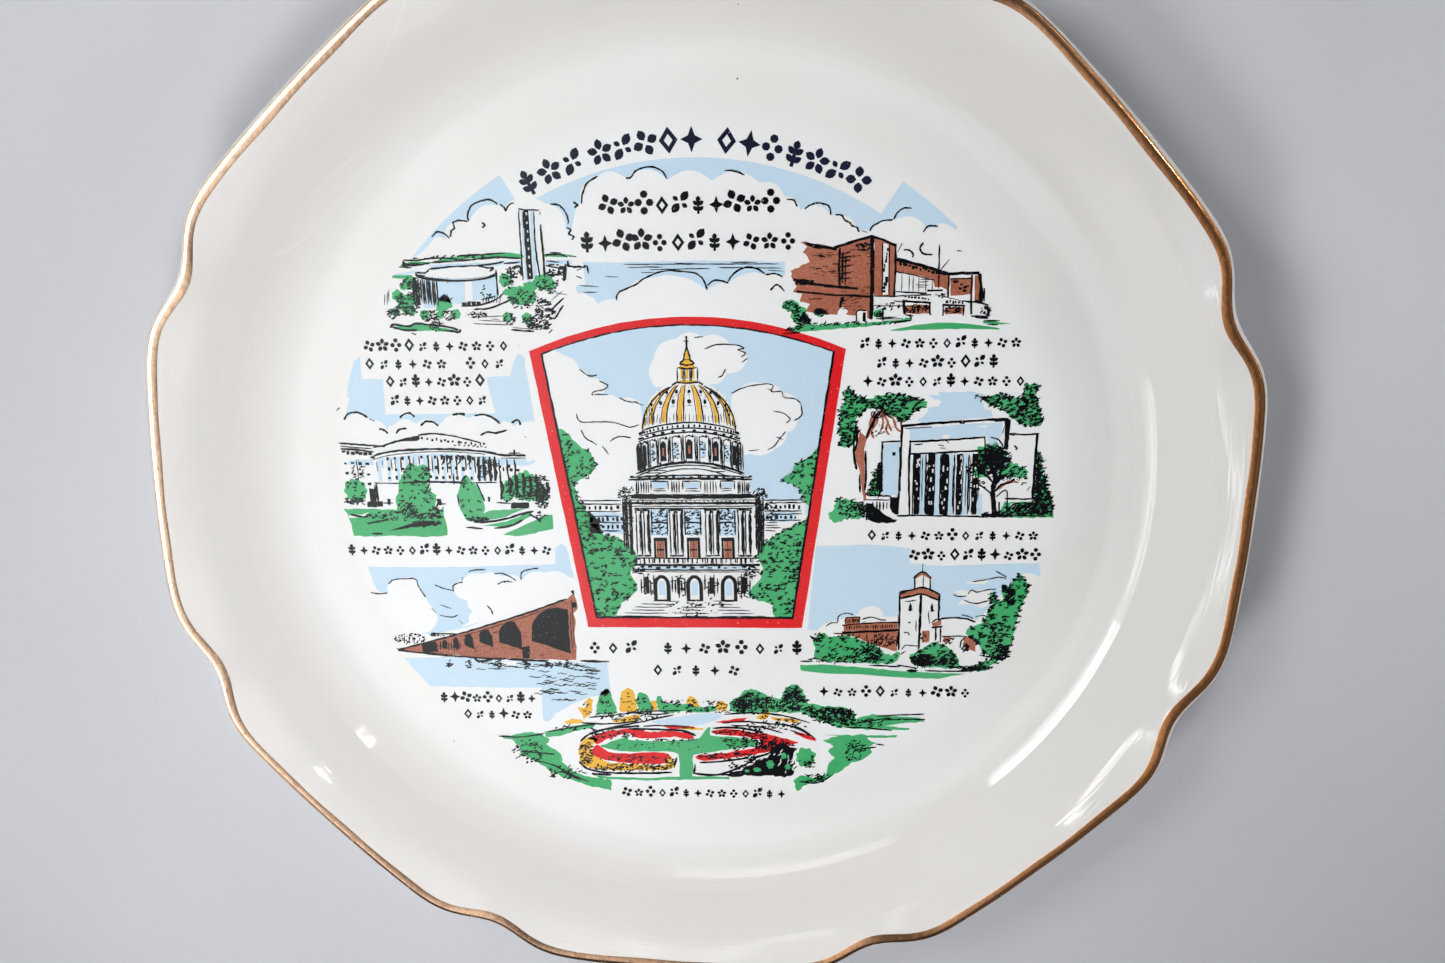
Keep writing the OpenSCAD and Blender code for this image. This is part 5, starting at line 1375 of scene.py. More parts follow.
    pens(ink, [[(-83, -10.4), (-80, -9.8), (-77.4, -9.4)], [(-87, -8), (-84, -8.6), (-82.6, -8.4)],
        [(-82, -13), (-79.4, -13.1)], [(-58, -9), (-55, -9.6), (-52, -9.2)], [(-56, -10), (-53, -10),
        (-48, -9.2), (-44.4, -8), (-41, -7.2)], [(-51, -11.6), (-47, -11), (-43.6, -9.4)], [(-42, -8),
        (-40, -9.2), (-39.4, -9.9)], [(-38.4, -8.2), (-37.4, -8.4)], [(-66, -8.4), (-63.6, -8.8)],
        [(-64.6, -6.4), (-66.2, -6)], [(-58, -11.4), (-54, -11.8)]], 0.44)
    for patch in ((-74, -8.4, 9, 1.2, 54, 1.0, 0), (-68, -10.4, 4, 0.8, 24, 1.0, 0), (-64.8, -7.4, 1.4, 1.8,
            20, 0.9, 0), (-55.4, -9.2, 2.6, 0.6, 18, 0.9, 0), (-39.6, -8.4, 1.2, 1, 9, 0.9, 0), (-38.6, -5.6,
            2, 0.8, 14, 0.9, 0)):
        leaves(ink, *patch)


# ---- Right picture: a hall with a tall portico between trees ----
def draw_portico_hall():
    ink, sky, green, wood = ("portico_hall_lines", "portico_hall_sky", "portico_hall_trees",
        "portico_hall_trunk")
    lay_rough(sky, [(54.6, 21.8), (57.8, 21.6), (57.4, 22.4), (63, 22.5), (68, 22.2), (67.4, 20.4),
        (68.4, 18.4), (70, 17.8), (70.2, 16.4), (62, 15.6), (54.4, 14.9), (52.4, 15.6), (55, 17.2),
        (55.4, 18.6), (57.6, 19), (58.4, 20)], 0.2, 1.2)
    # foliage hanging in from both top corners
    left_top = [(34, 12.8), (34.4, 16), (34.2, 18), (35.4, 20.6), (35, 22.2), (36.3, 23.6), (38, 21.6),
        (41, 21), (44, 21.8), (48, 21.9), (51.6, 21), (54.6, 20.4), (54.2, 18.8), (51.6, 17.6), (50.4, 16),
        (48.8, 15.4), (46, 16.8), (42.8, 18.4), (40, 17.8), (37.9, 15), (37.8, 10.4), (36.4, 9.2),
        (33.8, 9.3), (34.6, 11)]
    right_top = [(66.4, 21.2), (69, 21.2), (72, 21.8), (75, 21), (77.2, 21), (77.8, 24), (80.8, 24),
        (80, 22), (81, 19), (82, 14.2), (78, 14.3), (75.6, 15.6), (73.6, 17.4), (71, 18.8), (68.8, 19.8)]
    grove(green, ink, left_top, 190, 1.0)
    grove(green, ink, right_top, 150, 1.05)
    for outline in (left_top, right_top):
        for x, y in resampled(outline, 1.2, True):
            if rng.random() < 0.75:
                leaves(ink, x, y, 0.4, 0.4, 2, 1.0, 0)
    # near tree: trunk and drooping boughs
    lay_rough(wood, [(40.1, -4.6), (39.6, -1), (39.1, 3), (38, 5.8), (37.8, 8.8), (38.6, 10.4), (39, 13),
        (40.4, 11.6), (41.2, 14.2), (42.4, 16.6), (43.4, 17), (42.4, 14), (41.2, 11.6), (40.3, 9.8),
        (40.1, 7), (40.3, 3), (40.4, -1), (40.7, -4.4)], 0.12, 1.2)
    for bough in ([(43.2, 17.8), (43, 15), (41.8, 13), (42.3, 11.2)], [(43.6, 17.8), (44.6, 15),
            (43.8, 12.4)], [(43.8, 18), (45.6, 15.4), (45.2, 13.4), (46, 12)], [(44, 18.2), (46.8, 16),
            (47.6, 13.8), (49, 12.6)], [(44.2, 18.4), (47, 17.4), (48.6, 15.4), (48.9, 14)], [(42.6, 17.6),
            (41.4, 15), (41.6, 13.4)], [(44.4, 18), (45.8, 14.6), (46.6, 13)]):
        pen(wood, smooth(bough, 3), 0.42, 0.08)
    pens(ink, [[(40.6, 11), (41.6, 14), (43.2, 17), (44.4, 18)], [(43.4, 17.6), (42.4, 15.6), (41.9, 13.8)],
        [(38, 14.6), (38.4, 11), (37.9, 8)], [(37.5, 12), (37.8, 6), (38.4, 3.4)], [(40.4, 8), (40.6, 3),
        (40.4, -2)], [(39.1, 2), (39.2, -2.4)], [(44.6, 17.6), (46.4, 16.2)]], 0.44)
    for patch in ((38.2, 12.8, 0.6, 2.2, 26, 0.9, 0), (43, 16.8, 1.4, 1, 16, 0.8, 0), (44.6, 13, 3, 1.6, 12,
            0.5, 0)):
        leaves(ink, *patch)
    # the hall's own lines
    for line, width in (([(48.9, 14.2), (55, 14.7), (64, 15.3), (74, 15.8)], 0.5), ([(49, 14), (48.8, 4),
            (48.3, -8)], 0.46), ([(51, 10.6), (50.9, 2), (51.2, -8.2)], 0.4), ([(49.8, 13.6), (56, 13.9)],
            0.2), ([(48.6, 9), (48.9, -2)], 0.24), ([(50.8, 10.3), (56, 10.5), (60, 10.7), (68.6, 11.3)],
            0.42), ([(50.8, 7.2), (56, 7.4), (62, 7.7), (68.4, 8.1)], 0.4), ([(68.6, 11.4), (68.8, 8)], 0.3),
            ([(48.4, -8.4), (56, -8.4), (64, -8.6), (70, -8.7)], 0.34), ([(44.2, 10.2), (48.9, 10.4)], 0.4),
            ([(44.4, 10), (44.3, 3), (43.9, -3)], 0.4), ([(40.9, -3.2), (46.6, -3.4)], 0.3),
            ([(40.6, -4.4), (46.4, -4.4)], 0.24), ([(74.4, 12.2), (78, 11.9), (81.3, 12.2)], 0.34),
            ([(81, 12), (80.8, 6), (80.6, -4)], 0.56), ([(74, -4.1), (80, -4.2), (84.6, -4.3)], 0.4),
            ([(52, 7.4), (51.9, -8)], 0.3), ([(72, -3.6), (73.2, -2.4), (74.4, -2.2), (74.6, -8)], 0.3),
            ([(76, -8.4), (84, -8.6)], 0.3), ([(72.6, -5), (72.8, -8.2)], 0.3)):
        pen(ink, smooth(line, 3), width, 0.07, 0.9)
    lay_rough(ink, [(73.2, 15.6), (74.6, 15.6), (74.4, 12), (74.2, 8.2), (73.4, 8.4), (73.3, 12)], 0.12, 1.0)
    lay_rough(ink, [(70.4, 15.4), (73.8, 16), (74.2, 15.4), (71, 15)], 0.1, 1)
    lay(ink, nudged(rect(62.6, 14.6, 63.8, 15.2), 0.1))
    lay_rough(sky, [(50.9, 13.7), (58, 14), (66, 14.7), (72.7, 15), (72.8, 11.8), (71.2, 9.6), (69.9, 8.3),
        (69.4, 10.6), (68.8, 11.7), (60, 11), (50.9, 10.6)], 0.12, 1.6)
    keep_off(sky, rough([(58.6, 11.9), (60.4, 12.1), (60, 10.8), (58.8, 10.7)], 0.1), rough([(66, 13.9),
        (69, 14.2), (69, 13.6)], 0.1))
    lay_rough(sky, [(44.7, 9.8), (48.5, 9.9), (48.2, -3.2), (44.3, -3)], 0.1, 1.8)
    blots(ink, 47.2, 47.4, 7.2, 7.3, 1, 0.8, 1.1)
    pens(ink, [[(57.8, 9.4), (59, 9.2)], [(58.2, 8.7), (59.4, 8.6)], [(52, 9.6), (54, 9.7)], [(59.4, 10.6),
        (60.2, 9.9)], [(61.8, 10.9), (66, 11.1)], [(73, 9), (72, 10.6), (70, 11.4)], [(73.2, 14),
        (72.8, 12.4)]], 0.3)
    # portico: dark openings between blue columns
    for x0, x1 in ((52.1, 53.5), (55.3, 57), (58.6, 60.3), (62.2, 63.6), (66, 67.4)):
        lay_rough(ink, rect(x0, -8.2, x1, 7.2), 0.16, 1.2)
        for _ in range(9):
            x, y = rng.uniform(x0 + 0.2, x1 - 0.3), rng.uniform(-7, 6)
            keep_off(ink, nudged(rect(x, y, x + 0.34, y + rng.uniform(0.4, 1.1)), 0.06))
    for x in (54.2, 57.7, 61.0, 64.4):
        lay_rough(sky, rect(x - 0.55, -8.2, x + 0.55, 7.3), 0.08, 2)
        pen(ink, [(x + 0.72, 7), (x + 0.74, -8)], 0.3, 0.08)
        pen(ink, [(x - 0.66, 7), (x - 0.68, -8)], 0.18, 0.06)
    lay_rough(sky, rect(67.2, -8, 68.6, -3), 0.12, 1.4)
    strokes(ink, 51.6, 68, -8.2, 7.2, 16, 0.18, 0, 5)
    # conifers, steps, bushes and hedges
    for outline, count in (([(44, 5), (43, 3.4), (42.2, 0), (41, -2.6), (44, -3)], 16),
            ([(81.4, 7.4), (82.2, 5), (83.2, 1), (84.4, -3), (85.2, -5.6), (81.2, -4.8)], 60)):
        grove(green, ink, outline, count, 1.0)
        for x, y in resampled(outline, 0.9, True):
            leaves(ink, x, y, 0.4, 0.4, 2, 1.1, 0)
    strokes(ink, 43.4, 44.6, -2.6, 4.6, 4, 0.5)
    lay_rough(ink, [(81.5, 6.4), (82, 3.4), (82.6, -0.4), (83.2, -4.6), (81.6, -5), (81.3, 0)], 0.3, 0.7)
    lay_rough(ink, [(46.5, -3.6), (48.3, -3.6), (48.2, -8.2), (47, -7.6), (46.4, -6.4)], 0.14, 1.0)
    lay_rough(ink, [(40.6, -5), (42.4, -5.4), (44, -7), (45.8, -8.2), (48.2, -9.6), (47.6, -10.4),
        (44, -10.2), (40.6, -9.4)], 0.24, 0.9)
    strokes(ink, 42, 46.2, -7, -4.8, 5, 0.4)
    lay(green, blob(36, -6.6, 3.6, 2.9, 11), blob(33.8, -8.4, 2.3, 1.8, 8), blob(38.6, -7.2, 2.4, 2.4, 8))
    for patch in ((36.8, -6.2, 3.8, 2.9, 66, 0.85), (39.6, -6.6, 1.6, 2.4, 30, 1.0), (34.4, -4.2, 1.8, 0.9,
            10, 0.7)):
        leaves(ink, *patch)
    lay(green, blob(70.6, 6.6, 4.2, 3.6, 11, 0.3), blob(75, 3.2, 3.2, 2.0, 9, 0.3), blob(68, 2.6, 2, 1.6, 7,
        0.3), blob(77.6, 2.4, 1.6, 1.6, 7, 0.3))
    for patch in ((70.4, 5.8, 4.6, 3.9, 170, 1.3, 0.1), (74.4, 2.4, 4.4, 2.0, 52, 1.0, 0.1), (67, 3.4, 2.6,
            1.8, 50, 1.1, 0), (78, 0.6, 2, 1, 8, 0.8, 0), (67.4, -0.6, 2, 1.2, 12, 0.8, 0)):
        leaves(ink, *patch)
    lay(ink, blob(70.8, 6.2, 3.5, 3.0, 11, 0.5), blob(67.4, 3.0, 1.6, 1.3, 7, 0.5))
    for bough, width in (([(71.6, -8.4), (71.4, -5), (71, -2), (71.6, 1), (70.6, 4)], 0.9),
            ([(71.2, -1), (72.6, 1), (74.6, 2.4)], 0.5), ([(71.4, -2.4), (73, -0.6), (75.6, 0)], 0.4),
            ([(71, 0), (69.2, 2), (67.4, 3)], 0.5), ([(70.9, -3), (69, -1.4), (67.6, -0.6)], 0.34),
            ([(72, 0), (73, 4), (73.8, 6)], 0.5)):
        pen(ink, smooth(bough, 3), width, 0.08)
    pens(wood, [[(71.3, -7.8), (71, -5), (70.6, -2.6)], [(72.4, -1.8), (74.6, 0.2), (77, 0)], [(68.8, -1.2),
        (67, -0.2)]], 0.44)
    lay_rough(green, [(74, -4.9), (79, -5), (85, -4.8), (85.8, -8.8), (78, -9), (72.4, -8.8)], 0.22, 1.0)
    for patch in ((79.6, -6.8, 5.6, 1.7, 150, 1.2, 0), (84.6, -6.6, 1.2, 2.2, 24, 1.1, 0), (72, -8, 3.4, 0.7,
            34, 1.0, 0)):
        leaves(ink, *patch)
    lay_rough(ink, [(68.4, -8.2), (72, -7.8), (76, -8.2), (76, -8.9), (69, -8.9)], 0.14, 0.9)
    keep_off(green, rough(rect(75.4, -6.6, 76.4, -5.4), 0.1), rough(rect(79.6, -7.6, 80.8, -6.4), 0.1),
        rough(rect(82.6, -7.4, 84, -6), 0.1))
    pens(ink, [[(74.4, 11.9), (75.6, 11.7)], [(75.6, 9.2), (76.4, 8.6), (76, 8.2)], [(77.4, 3.6), (79, 4.2)],
        [(79.2, -2), (79.8, -1)]], 0.3)


# ---- Lower left picture: a long brick bridge over a river ----
def bridge_top(x):
    """The deck's line, which climbs towards the near end."""
    return -44.9 + (x + 79) * 0.245 + 0.0016 * (x + 79) ** 2


def draw_bridge():
    ink, wall, water = "bridge_lines", "bridge_spans", "river_water"
    deck = [(x, bridge_top(x)) for x in range(-78, -32, 4)] + [(-32.2, -28.8)]
    ragged = [(-31.6, -31.2), (-31.2, -33), (-32.4, -34.6), (-32, -37), (-32.6, -40), (-32.2, -43.6),
        (-32.4, -47.4)]
    under = [(-45, -47.1), (-56, -46.9), (-66, -45.9), (-73, -45.4), (-78.4, -45)]
    lay(wall, nudged(resampled(deck + ragged + under, 1.4, True), 0.12))
    # spans seen end-on: each is a dark opening, lower and narrower towards the far end
    for x0, x1, top, foot0, foot1 in ((-43.5, -33.8, -33.2, -42, -45.6), (-52, -46.2, -36.9, -42.4, -44.5),
            (-57.2, -53.6, -39, -42.4, -44), (-61, -58.6, -40.4, -43.4, -44.4), (-64, -62.4, -41.2, -43.8,
            -44.5), (-66.8, -65.4, -42, -44, -44.6)):
        wide = x1 - x0
        lay_rough(ink, [(x0, foot0), (x0 + wide * 0.04, top - wide * 0.42), (x0 + wide * 0.2,
            top - wide * 0.16), (x0 + wide * 0.46, top), (x0 + wide * 0.74, top + wide * 0.02), (x1 - 0.1,
            top - wide * 0.02 if wide > 8 else top - wide * 0.5), (x1, foot1)], 0.12, 1.2)
    lay_rough(ink, [(-72, -43.2), (-70.4, -42.6), (-68.4, -42.2), (-68, -45.2), (-72, -45.3)], 0.14, 0.9)
    lay_rough(ink, [(-46.4, -44), (-44.2, -43.4), (-44.4, -47), (-46, -47)], 0.14, 0.9)
    strokes(ink, -72, -62, -45.2, -42.4, 14, 0.36, 0.1, 0.9)
    pen(ink, [(x, bridge_top(x) + 0.1) for x in range(-78, -32, 2)], 0.4, 0.08)
    pen(ink, [(x, bridge_top(x) - 0.7) for x in range(-62, -34, 2)], 0.16, 0.06)
    pens(ink, [[(-78.4, -44.9), (-73, -45.5), (-66, -46.2), (-56, -47), (-50, -47.1)], [(-78.6, -44.4),
        (-76, -45.2)], [(-50, -47.2), (-44, -47.5), (-40, -47.6)], [(-31.4, -47.6), (-24, -47.8)],
        [(-58.8, -46.8), (-57.6, -47.8), (-54, -47.4)]], 0.5)
    lay(ink, blob(-32.2, -32.2, 0.8, 0.9, 6), rough([(-33, -28.6), (-32, -28), (-31.9, -29.6)], 0.1))
    # courses of brick along the wall
    for _ in range(150):
        x = rng.uniform(-70, -33)
        y = rng.uniform(-46.6, bridge_top(x) - 0.5)
        pen(ink, [(x, y), (x + rng.uniform(0.4, 1.5), y + rng.uniform(0.05, 0.4))], 0.14, 0.04)
    strokes(ink, -33.4, -32.6, -46.6, -30, 2, 0.2, 0, 4)
    # clouds' pen lines and the far bank
    soft = [[(-84, -28.9), (-82, -29.2), (-79.6, -29)], [(-79.2, -26.6), (-77.6, -25.4), (-74, -25.1),
        (-72, -25.3), (-71.6, -27), (-70.8, -28.6), (-69.8, -30.2)], [(-68.6, -33.2), (-67.6, -34.4)],
        [(-67.4, -26.8), (-65, -27.8), (-62.6, -28.4)], [(-66.4, -32.2), (-63.6, -33.2)], [(-66.8, -35),
        (-64, -35.6), (-62, -35)], [(-62.6, -28.6), (-62.6, -27), (-61, -26.2), (-60.1, -26.2)],
        [(-60.4, -26), (-60, -24.6)], [(-58.4, -23.2), (-56.6, -22.7), (-54, -22.7)], [(-52, -23.8),
        (-50, -23.6), (-47.6, -24.8), (-46.6, -25.6)], [(-45.2, -25.4), (-45, -23.4), (-43, -22.6),
        (-40.6, -22.2)], [(-51.4, -26.6), (-49.6, -25.8), (-47.4, -26)], [(-62, -36.4), (-61, -37.4)],
        [(-54.4, -32.4), (-53.4, -33.6), (-53.2, -34.8)], [(-49.6, -26.2), (-48.4, -25.6)], [(-69.4, -40),
        (-66, -40.2), (-63, -40.2)]]
    pens(ink, soft, 0.26)
    leaves(ink, -75, -41.6, 4, 1.4, 34, 0.8, 0)
    leaves(ink, -66.6, -40.5, 3.2, 0.4, 14, 0.9, 0)
    strokes(ink, -78.4, -72, -43, -40.6, 5, 0.3, 0.2, 1)
    # river
    lay_rough(water, [(-77, -47.2), (-74.4, -50.6), (-70.6, -55), (-42, -55.3), (-42, -64.8), (-40.6, -65),
        (-38.6, -62.6), (-34, -59.6), (-29.6, -57.8), (-24, -56.6), (-24.6, -48.2), (-50, -47.8),
        (-66, -46.6)], 0.14, 2)
    lay_rough(water, [(-84, -22), (-60, -22), (-36.4, -21.2), (-36, -17), (-34.6, -15.8), (-33.4, -16.4),
        (-31.6, -25), (-34.6, -28.6), (-50, -34.4), (-60, -38.4), (-69, -40.2), (-74, -40.6), (-80, -36)],
        0.12, 2.2)
    keep_off(water, rough(smooth([(-86, -27), (-80, -29.6), (-79.4, -26.6), (-77, -25.2), (-73, -24.8),
        (-71.4, -27), (-70, -30), (-68.4, -33), (-67.4, -36), (-69, -39), (-72, -40.4), (-86, -44)], 3,
        True), 0.12, 1.6))
    keep_off(water, [(-62, -38.6)] + scallops([(-59.4, -37), (-58.2, -34), (-59.4, -31), (-62.6, -28.6),
        (-60, -25.2), (-55, -23.8), (-50, -24.4), (-45, -25.2), (-39, -23.4), (-33, -24.6), (-28, -28)],
        0.16) + [(-28, -30), (-45, -33.4)])
    keep_off(water, rough([(-52, -47.9), (-48, -47.8), (-46, -48.8), (-50, -49.2), (-52.4, -48.8)], 0.12))
    for x0, x1, y0, y1, count in ((-46, -24.6, -48.8, -53, 30), (-44, -28, -53, -57.6, 26), (-60, -46, -48,
            -50.6, 12), (-40, -34, -58, -59, 4)):
        for _ in range(count):
            x, y = rng.uniform(x0, x1 - 2), rng.uniform(y1, y0)
            pen(ink, smooth([(x, y), (x + 0.8, y + 0.25), (x + 1.8, y - 0.1), (x + rng.uniform(2.2, 3.6),
                y + 0.1)], 2), 0.2, 0.06)
    for x in (-65.4, -60.4, -52.6, -45.4, -39.4, -34.6):
        leaves(ink, x, -48.6, 0.8, 1.2, 12, 0.9, 0)
    leaves(ink, -36.4, -48.6, 4, 0.6, 20, 0.9, 0)


# ---- Lower right picture: a towered hall among trees ----
def draw_tower_hall():
    ink, sky, roof, green = "tower_hall_lines", "tower_hall_sky", "tower_hall_roofs", "tower_hall_trees"
    lay_rough(sky, [(28.6, -16.4), (34, -16.2), (42, -15.8), (51.6, -16.9), (51.6, -20.8), (58, -21.4),
        (68, -21.2), (83, -20.7), (83.4, -24.9), (80, -23.4), (78, -24.6), (74, -29), (69, -35), (66, -38.6),
        (60, -39.8), (56, -42), (46, -42.4), (36, -41), (30.4, -39), (26.6, -38.6)], 0.12, 2.2)
    for outline in ([(30, -39.6), (29.8, -37.8), (32.6, -36.4), (35, -35.6), (38.4, -35), (40, -33),
            (42.2, -32.1), (44.6, -33), (45.4, -35), (48.2, -36.4), (49.4, -40), (40, -43)], [(65.4, -25.8),
            (67.4, -25.2), (70.6, -24.9), (70, -26.1), (67, -26.3)], [(62.8, -28.4), (64.6, -27.8),
            (66.6, -28), (70, -27.7), (72.4, -28.6), (72, -31), (69.6, -32.6), (66.6, -31.6), (63.6, -31.6),
            (65, -30)], [(60, -35.4), (64, -35.2), (68.4, -36.2), (68, -40), (60, -40)], [(78.6, -23.6),
            (81, -23.4), (83.6, -24.6), (81, -26), (79, -25.6)]):
        keep_off(sky, rough(smooth(outline, 3, True), 0.12, 1.2))
    tower = [(49.2, -43.6), (49.3, -29.2), (52.6, -27.8), (52.7, -24.2), (54.7, -23), (56.8, -24.2),
        (56.8, -27.9), (59, -29.3), (59, -43.6)]
    keep_off(sky, tower, rect(57.4, -43, 59.6, -35.8), rect(35.6, -43.6, 49.3, -35))
    # roofs and brick
    lay_rough(roof, [(49.3, -28.6), (52.6, -27.9), (54.6, -27.3), (56.8, -28), (59.1, -29.2), (59.1, -30.5),
        (54.6, -28.7), (49.3, -30)], 0.08, 1.2)
    lay_rough(roof, [(52.7, -24.3), (54.7, -22.9), (56.8, -24.4), (56.4, -24.9), (54.7, -23.9), (53, -24.9)],
        0.06, 1)
    lay(roof, rough([(36, -35.4), (39.4, -35.3), (39.4, -37), (36, -37.2)], 0.08, 1.2), rough([(35.4, -37.4),
        (42, -36.9), (49, -36.6), (49, -38.4), (42, -38.9), (35.6, -39)], 0.1, 1.4), rough([(32.6, -39.6),
        (40, -39.2), (49, -38.7), (49, -44.4), (46.4, -43.8), (43, -42.6), (40.4, -41.6), (38, -40.4)], 0.18,
        1.2), rough(rect(55, -42, 56.8, -38.9), 0.14, 1.2), rough([(57.4, -36.8), (59.6, -35.8),
        (59.6, -37.2), (57.6, -37.8)], 0.08, 1), rough([(60.4, -40.6), (62, -40.4), (62, -42.2),
        (60.2, -41.8)], 0.1, 1), rough([(65.2, -40.6), (67.4, -40.4), (68.4, -42), (68.4, -44.4),
        (66, -43.8)], 0.14, 1))
    for line, width in (([(49.3, -28.4), (52.8, -27.7), (54.6, -27.2), (57, -27.9), (59.1, -29)], 0.42),
            ([(49.3, -30.2), (52.6, -29.4), (54.6, -28.9), (57, -29.8), (59, -30.7)], 0.4),
            ([(49.3, -28.6), (49.25, -44)], 0.4), ([(54.5, -28.8), (54.4, -36), (54.3, -43.6)], 0.5),
            ([(59, -29.2), (59, -36)], 0.4), ([(52.9, -24.4), (52.9, -27.7)], 0.34),
            ([(56.7, -24.6), (56.7, -27.8)], 0.34), ([(55, -24.2), (55, -27.2)], 0.2),
            ([(52.6, -24.6), (54.7, -23), (56.9, -24.6)], 0.36), ([(54.75, -23), (54.8, -20.9)], 0.24),
            ([(36, -35.3), (39.4, -35.2)], 0.3), ([(36, -35.3), (35.9, -37)], 0.3),
            ([(39.4, -35.2), (39.4, -36.8)], 0.3), ([(35.2, -37.4), (42, -36.8), (49, -36.5)], 0.3),
            ([(35.2, -39.3), (42, -39.1), (49, -38.6)], 0.5), ([(33, -39.7), (40, -39.4)], 0.3),
            ([(57.4, -36.6), (58.4, -35.7), (59.6, -35.8)], 0.32), ([(57.4, -38), (60, -37.6)], 0.5),
            ([(58.4, -38), (58.4, -41.4)], 0.4), ([(59.6, -38), (59.6, -42)], 0.3),
            ([(59.6, -35.5), (63, -35.2), (66, -35.6), (68, -36.4)], 0.42), ([(60, -40.4), (63, -40.2),
            (66, -40.4)], 0.26), ([(64.6, -43.4), (64.8, -41.4), (65.6, -40.8)], 0.3)):
        pen(ink, smooth(line, 3) if len(line) > 2 else line, width, 0.06, 0.8)
    blots(ink, 36.4, 39.2, -36.2, -36.1, 6, 0.3, 1.1, 0.05)
    blots(ink, 36, 49, -38, -37.6, 22, 0.3, 0.9, 0.08)
    strokes(ink, 40, 49, -43.4, -39.6, 18, 0.3, 0, 2)
    leaves(ink, 45.4, -41.4, 3.4, 1.6, 34, 0.9, 0)
    leaves(ink, 37, -40.4, 3, 0.6, 12, 0.8, 0)
    for x in (51.9, 57.2):
        lay_rough(ink, [(x, -31.2), (x + 0.4, -32.2), (x + 0.42, -33.4), (x - 0.06, -33.6), (x - 0.36,
            -32.6)], 0.06, 0.8)
        leaves(ink, x + 0.2, -33.2, 0.4, 0.4, 5, 0.6, 0)
    blots(ink, 51.6, 51.8, -36.5, -36.5, 1, 0.45, 0.4)
    pens(ink, [[(50.4, -39.3), (51.6, -39.4), (51.8, -40.2)], [(50, -44), (51, -42.8), (53.6, -43),
        (54.4, -42.6)], [(49.6, -45.4), (51, -44.4)], [(50.6, -31), (53.4, -30.6)], [(53.4, -36),
        (53.5, -39)], [(56.4, -33.4), (56.8, -37)]], 0.24)
    for patch in ((66, -43.4, 0.8, 1.2, 20, 0.9, 0), (55.4, -40.4, 0.8, 1.6, 12, 0.6, 0), (61.8, -41.6, 1.6,
            0.8, 12, 0.8, 0)):
        leaves(ink, *patch)
    # clouds' pen lines
    pens(ink, [[(34, -36.6), (34.2, -35), (36, -34.1), (38, -34.6)], [(31, -37.8), (32.4, -36.8),
        (34, -36.8)], [(40, -35.8), (42.6, -35.2), (44.6, -35.9), (46, -36)], [(39.8, -37), (41, -36.3)],
        [(67, -25.6), (70.6, -25), (73.4, -24.4), (75.2, -24.8)], [(72.4, -22.8), (74, -23.6),
        (75.2, -24.4)], [(62.4, -29), (63.6, -29.6), (65.8, -29.4)], [(66, -29), (66.8, -27.9),
        (68.4, -28.4), (70.8, -27.7), (72.8, -27.6)], [(65, -30.4), (67.4, -31.4), (70, -31), (71, -30.6)],
        [(64.6, -34.4), (66, -34.8), (67.6, -35.4)], [(68, -35), (70, -34.6), (71.2, -35.2)], [(70.8, -29),
        (72, -28.6)]], 0.24)
    # trees
    grove(green, ink, [(27.6, -41), (28.6, -40.6), (30.4, -39.4), (32, -40.6), (35, -40.2), (38.6, -40.8),
        (40.6, -41.8), (43.4, -42.8), (45.4, -45), (47.4, -45.4), (49.4, -44.8), (48.2, -47.6), (44, -47.9),
        (38, -47.4), (33, -47.4), (28.6, -46.6), (28.2, -43.6)], 70, 0.95)
    for patch in ((36, -46.8, 9, 1, 56, 1.1, 0), (29, -40.8, 1.6, 1.2, 26, 1.0, 0), (42.4, -44.6, 3, 2, 44,
            1.1, 0.2)):
        leaves(ink, *patch)
    grove(green, ink, [(51.8, -45.6), (54, -44.4), (56.6, -42.8), (58, -41.8), (60.6, -42.6), (63, -44.6),
        (64.4, -47), (64, -48.8), (58, -48.8), (53.4, -48.2)], 60, 1.1)
    leaves(ink, 55.6, -46.8, 3.2, 1.8, 84, 1.2, 0.1)
    leaves(ink, 61.6, -46.8, 2.4, 2, 44, 1.1, 0.2)
    lay(ink, blob(55, -47.4, 2.2, 1.0, 8, 0.4), blob(52.8, -49.8, 1.6, 0.5, 7, 0.4))
    lean = [(78, -23.8), (79.6, -25), (80.7, -26.6), (80.2, -30), (78.8, -33), (78, -38), (77.4, -41),
        (76, -44), (74.6, -46.4), (72.6, -48), (71, -49.6), (66, -49.4), (69.6, -47.6), (72.8, -46),
        (70.4, -45), (69.4, -43.2), (68, -41.2), (66, -39.4), (67.2, -37.8), (69.4, -36.8), (71, -34.4),
        (72, -32.2), (71.4, -30), (72.1, -28.4), (73.4, -30.6), (74.6, -30.2), (74, -27), (75.2, -26.4),
        (76.4, -26.8)]
    grove(green, ink, lean, 120, 1.05)
    for patch in ((76.4, -29.6, 1.0, 2.4, 50, 1.2, 0), (71.4, -38.4, 3, 3.4, 44, 1.1, 0.2), (74.4, -44.4,
            2.4, 2.4, 60, 1.2, 0.2), (68.4, -48.9, 4.4, 0.6, 44, 1.1, 0)):
        leaves(ink, *patch)
    for x, y in resampled(lean, 1.5, True):
        if rng.random() < 0.8:
            leaves(ink, x, y, 0.4, 0.4, 2, 1.1, 0)
    lay_rough(green, [(24.6, -48.4), (30, -48.2), (38, -48.8), (50, -49.9), (56, -50.3), (66, -50.5),
        (62.6, -51.2), (59.2, -52), (50, -51.6), (40, -50.9), (30, -50.6), (24.8, -50)], 0.12, 1.6)
